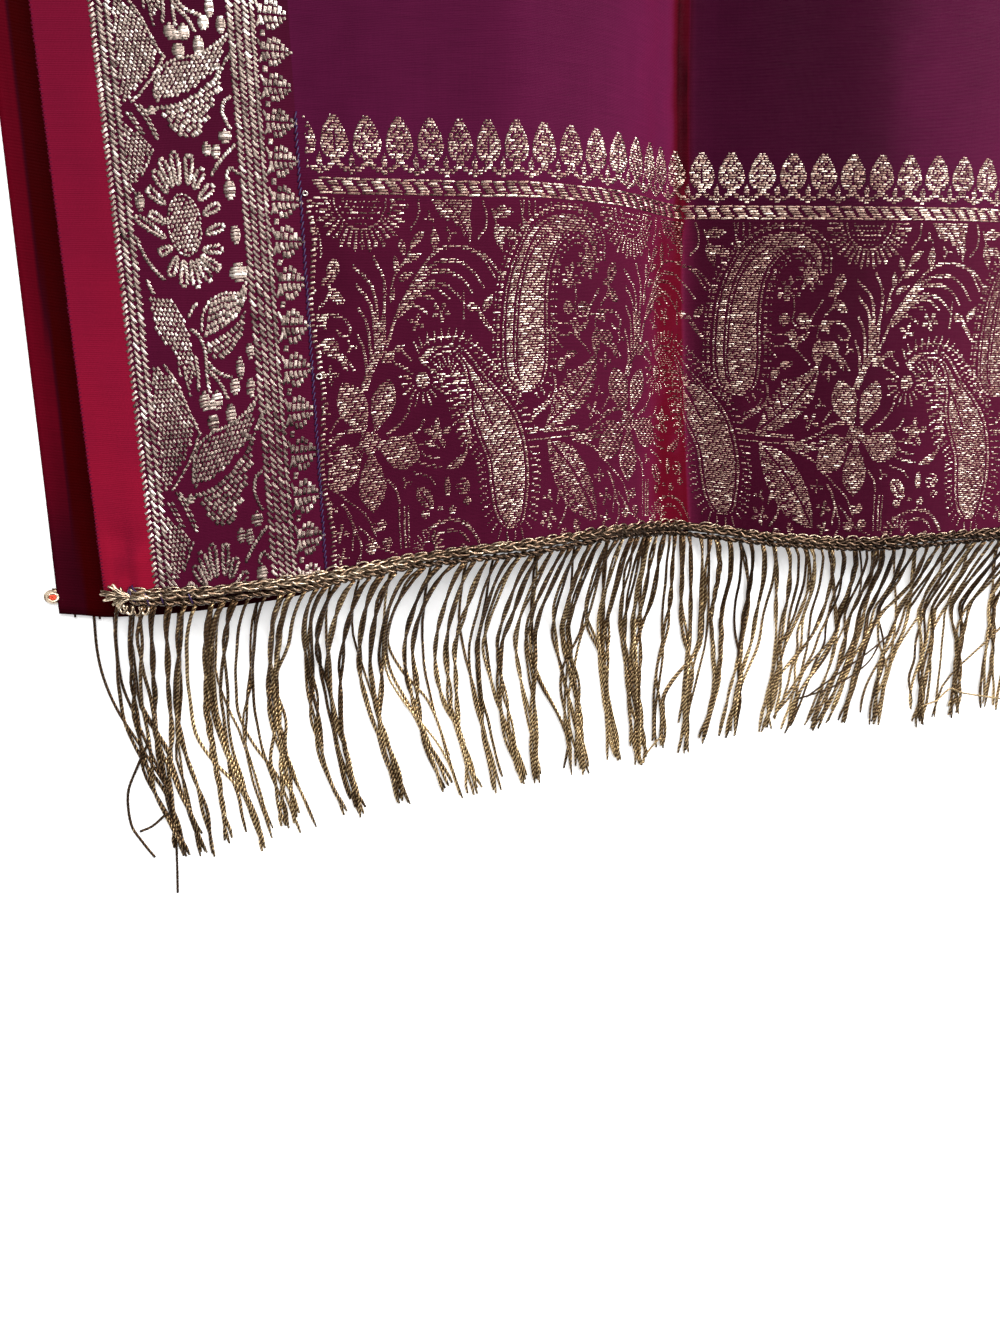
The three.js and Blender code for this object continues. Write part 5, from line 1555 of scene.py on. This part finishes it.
for k in range(4):
    u0, w_ = 5.2 + 2.3 * k + r_.uniform(-0.3, 0.3), 1.25 + r_.uniform(0, 0.5)
    t = np.linspace(0.1, 3.0, 12)
    u, v = u0 + w_ * np.cos(t), -1.9 - (2.6 + r_.uniform(0, 1.5)) * np.sin(t)
    fr.tube(on_cloth(u, v, 0.6 + 0.3 * np.sin(t * 2)), 0.48, 6, rnd=r_.uniform(0.3, 1))
start = fr.make("hem_braid_start")
start.data.materials.append(mat_braid)
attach(start, "root")
ps = Soup()
for a, c in (((5.4, -2.4), (8.2, 3.4)), ((8.4, 3.8), (10.0, -1.2)), ((9.2, 4.4), (12.4, 1.6)), ((12.6, 3.2), (14.0, -2.0)), ((17.5, 3.0), (18.6, -1.6)), ((26.0, 3.0), (27.4, -1.8))):
    q = np.linspace(0, 1, 9)
    ps.tube(on_cloth(a[0] + (c[0] - a[0]) * q, a[1] + (c[1] - a[1]) * q, 0.4 + 1.35 * np.sin(math.pi * q)), 0.3, 5)
hold = ps.make("braid_stitches")
hold.data.materials.append(mat_stitch)
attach(hold, "root")


# the lower half's braid, flat under the upper hem, with its knotted end beyond the cloth's edge
def on_under(s, v, h):
    s, v, h = np.broadcast_arrays(np.asarray(s, float), np.asarray(v, float), np.asarray(h, float))
    return np.stack([s, under_hem(s) + v, h], -1)


UB0 = AT[0] - SKEW - 0.4
UB1 = float(face(CLOTH_W, 0)[0]) - SKEW - 4
ub = Soup()
plait(ub, UB0 - 1.0, UB1, 6.6, 0.98, 13.0, 1.0, 0.25, 0.55, 1.3, on_under, 4)
kx, ky = UB0 - 0.9, float(under_hem(UB0)) + 5.6
for k in range(3):
    t = np.linspace(0, 2 * math.pi * 1.04, 24)
    rx, ry = 2.5 - 0.45 * k, 1.9 - 0.3 * k
    ub.tube(np.stack([kx + rx * np.cos(t + k), ky + ry * np.sin(t + k), 1.0 + 0.75 * k + 0.2 * np.sin(2 * t + k)], -1), 0.52, 6, rnd=0.75 + 0.1 * k)
for k in range(4):
    t = np.linspace(0, 1, 8)
    ub.tube(np.stack([kx + 1.8 + 3.6 * t, ky - 0.9 + 0.65 * k - 0.4 * t, 1.6 + 0.35 * np.sin(t * 5 + k)], -1), 0.45, 5, rnd=0.6)
kn = Soup()
for k in range(7):
    t = np.linspace(-1, 1, 7)
    aa = 2.4 * k
    kn.tube(np.stack([kx + 0.7 * math.cos(aa) + 0.7 * t * math.sin(aa), ky + 0.55 * math.sin(aa) + 0.5 * t * math.cos(aa), 2.35 + 0.35 * (1 - t * t) + 0.05 * k], -1), 0.36, 5)
tuft = kn.make("knot_tuft")
tuft.data.materials.append(plain("knot_red", srgb(214, 74, 40), 0.6))
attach(tuft, "root")
ubr = ub.make("under_braid_plait")
ubr.data.materials.append(mat_braid)
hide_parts("under_braid")
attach(ubr, "root")


# ------------------------------------------------------------------ fringe
def drop(out):
    return np.interp(out, [0, 0.15, 0.38, 1.0], [1, 0.6, 0, 0])


# across, how far the cords bow sideways (left is minus), where their ends drift to
FALL = [
    (-92, -3, 6), (-70, -3.5, 6), (-45, -5, 4), (-15, -8, 1.5), (30, -8.5, 2), (70, -6, 3), (110, -3, 2), (140, 0.5, 0.5), (165, 5.5, -1),
    (200, 6, -6), (235, 4, -11), (262, -1.5, -6), (300, -4, -3), (360, -5, -5), (420, 3, -4), (480, -4, 3), (560, 4, 2), (640, -3, -3),
    (720, 4, 3), (800, -4, 2), (900, 2, 4),
]
bow_at, drift_at = [monotone([t[0] for t in FALL], [t[k] for t in FALL]) for k in (1, 2)]


def fringe_row(soup, r, lo, hi, gap, top, root, sides, pts, thick, cords, crowd):
    """Legs of one to three cords leave the hem side by side, bow, and gather lower down by ones to fours; some cords go their own way."""
    at = []
    q = lo
    while q < hi:
        at.append(q)
        q += gap * r.uniform(0.72, 1.3)
    S = np.linspace(0, 1, pts) ** 0.94
    k, bundles = 0, []
    while k < len(at):
        n = int(r.choice(crowd))
        roots = [root(g) for g in at[k:k + n]]
        k += n
        c0 = float(np.mean([b[0] for b in roots]))
        bundles.append(dict(roots=roots, c0=c0, bow=float(bow_at(c0)) * r.uniform(0.75, 1.2) + r.normal(0, 0.7), drift=float(drift_at(c0)) + r.normal(0, 2.0),
                            a=r.normal(0, 0.7), w=r.uniform(0.8, 1.6), f=r.uniform(0, 6.28), turn=r.choice([-1, 1]) * r.uniform(0.6, 1.5), tip=r.uniform(-0.035, 0.03)))
    for gi, g in enumerate(bundles):
        n = len(g["roots"])
        for j, base in enumerate(g["roots"]):
            home = g
            if r.uniform() < 0.12 and 0 < gi < len(bundles) - 1:
                home = bundles[gi + int(r.choice([-1, 1]))]
            m0 = r.uniform(0.16, 0.5)
            J = ease(m0, m0 + r.uniform(0.28, 0.45), S) * 0.96
            phi = 2 * math.pi * (home["turn"] * S + j / n)
            off = (0.62 * (n - 1) + 0.25) * np.cos(phi)
            centre = base[0] * (1 - J) + (home["c0"] + off) * J
            centre = centre + home["bow"] * r.uniform(0.85, 1.15) * np.sin(math.pi * S ** 0.72) + (home["drift"] + r.normal(0, 0.6)) * S ** 2
            centre = centre + home["a"] * (np.sin(2 * math.pi * home["w"] * S + home["f"]) - math.sin(home["f"])) * ease(0, 0.3, S)
            layer = 0.85 + 0.5 * (j % 3) + 0.35 * np.sin(phi) * J + r.uniform(0, 0.35)
            m = int(r.choice(cords))
            T, ph0 = r.choice([-1, 1]) * r.uniform(1.6, 3.6), r.uniform(0, 6.28)
            reach = (base[1] - float(tip_line(base[0]))) * np.interp(base[0], [120, 220], [1.0, 0.95]) * (1 + home["tip"])
            for i in range(m):
                ri = 0 if m == 1 else (thick * 0.92 if m == 2 else thick * 1.12)
                ph = 2 * math.pi * (T * S + i / m) + ph0 + 0.6 * np.sin(S * 9 + ph0)
                open_ = 1 + 0.35 * np.sin(S * 7 + ph0 + i)
                x = centre + ri * open_ * np.cos(ph) + r.normal(0, 0.75) * ease(0.9, 1.0, S) + 0.10 * np.sin(S * 37 + i * 2)
                z = layer + ri * 0.6 * np.sin(ph)
                L = reach * (1 + r.uniform(-0.035, 0.012))
                if r.uniform() < 0.15:
                    s0 = r.uniform(0.08, 0.5)
                    x = x + r.normal(0, 6.0) * np.clip(S - s0, 0, 1) ** 1.5
                    L = L * r.uniform(0.84, 1.0)
                y = base[1] - L * S
                fall = drop(S)
                z = np.maximum(z, thick * 1.2) * (1 - fall) + (base[2] + ri * 0.5 * np.sin(ph)) * fall
                rr = thick * r.uniform(0.9, 1.1) * (1 + 0.06 * np.sin(S * 23 + ph0 + i)) * np.where(S > 0.985, 0.7, 1)
                soup.tube(np.stack([x, y, z], -1), rr, sides, rnd=np.clip(r.normal(0.46, 0.17), 0, 1), s0=r.uniform(0, 2))


def root_top(u):
    return tuple(on_cloth(u, -1.9, 0.2))


def root_low(x):
    return (x, float(under_hem(x)) + 4.4, 1.5)


fg = Soup()
fringe_row(fg, np.random.default_rng(43), 4.0, CLOTH_W - 2, 4.3, True, root_top, 6, 30, 0.60, [1, 2, 2, 2, 3], [1, 2, 2, 3, 3, 4, 5])
LONE = (([(-76.8, -12.4, 1.7), (-77.3, -24.9, 1.0), (-76.3, -35.6, 0.8), (-73.1, -47.4, 0.9), (-67.3, -60.3, 1.6), (-61.8, -72.3, 3.1), (-58.6, -80.4, 3.0)], 0.5),
        ([(-70.5, -13.0, 1.7), (-71.1, -27.2, 1.0), (-70.7, -37.9, 0.8), (-68.3, -48.0, 1.0), (-64.7, -60.6, 2.4), (-60.6, -74.0, 3.4)], 0.52),
        ([(-64.0, -58.7, 2.6), (-69.6, -69.3, 1.4), (-73.3, -78.2, 0.9), (-73.5, -89.7, 0.8), (-70.6, -96.8, 0.8), (-66.9, -103.7, 0.7)], 0.5),
        ([(-60.1, -80.1, 2.8), (-58.9, -93.9, 1.2), (-59.5, -106.5, 0.8), (-60.5, -119.0, 0.7)], 0.46),
        ([(-70.8, -92.8, 1.1), (-66.4, -91.2, 1.6), (-61.7, -87.2, 2.8)], 0.5),
        ([(200.9, -73.4, 0.7), (217.8, -68.8, 3.0), (233.7, -60.5, 3.2), (241.2, -51.2, 2.2)], 0.42),
        ([(205.9, -73.0, 0.7), (220.4, -62.8, 3.2), (234.3, -55.1, 3.2), (246.2, -48.1, 2.0)], 0.42),
        ([(263.9, -88.9, 1.2), (265.6, -83.4, 2.8), (273.1, -81.4, 3.2), (280.3, -76.4, 3.4), (287.3, -79.1, 3.4), (309.6, -84.4, 3.0)], 0.42),
        ([(127.0, -93.9, 0.6), (130.6, -87.3, 1.4), (135.1, -81.7, 2.8)], 0.42))
for k, (pts, rad) in enumerate(LONE):
    fg.tube(smooth_path(pts, 6), rad, 6, rnd=1.0 if k >= 7 else 0.14)
fringe = fg.make("hem_fringe")
fringe.data.materials.append(mat_fringe)
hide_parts("fringe_top")
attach(fringe, "root")

ug = Soup()
fringe_row(ug, np.random.default_rng(47), UB0 + 24, UB1 - 4, 13.0, False, root_low, 5, 20, 0.52, [1, 2], [1, 1, 2])
for x in (UB0 + 5.0, UB0 + 12.6):
    b = root_low(x)
    ug.tube(np.stack([np.full(5, x), b[1] - np.linspace(-1, 5.5, 5), np.linspace(1.5, 1.1, 5)], -1), 0.42, 5, rnd=0.1)
under_fr = ug.make("under_half_fringe")
under_fr.data.materials.append(mat_fringe)
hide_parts("under_fringe")
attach(under_fr, "root")
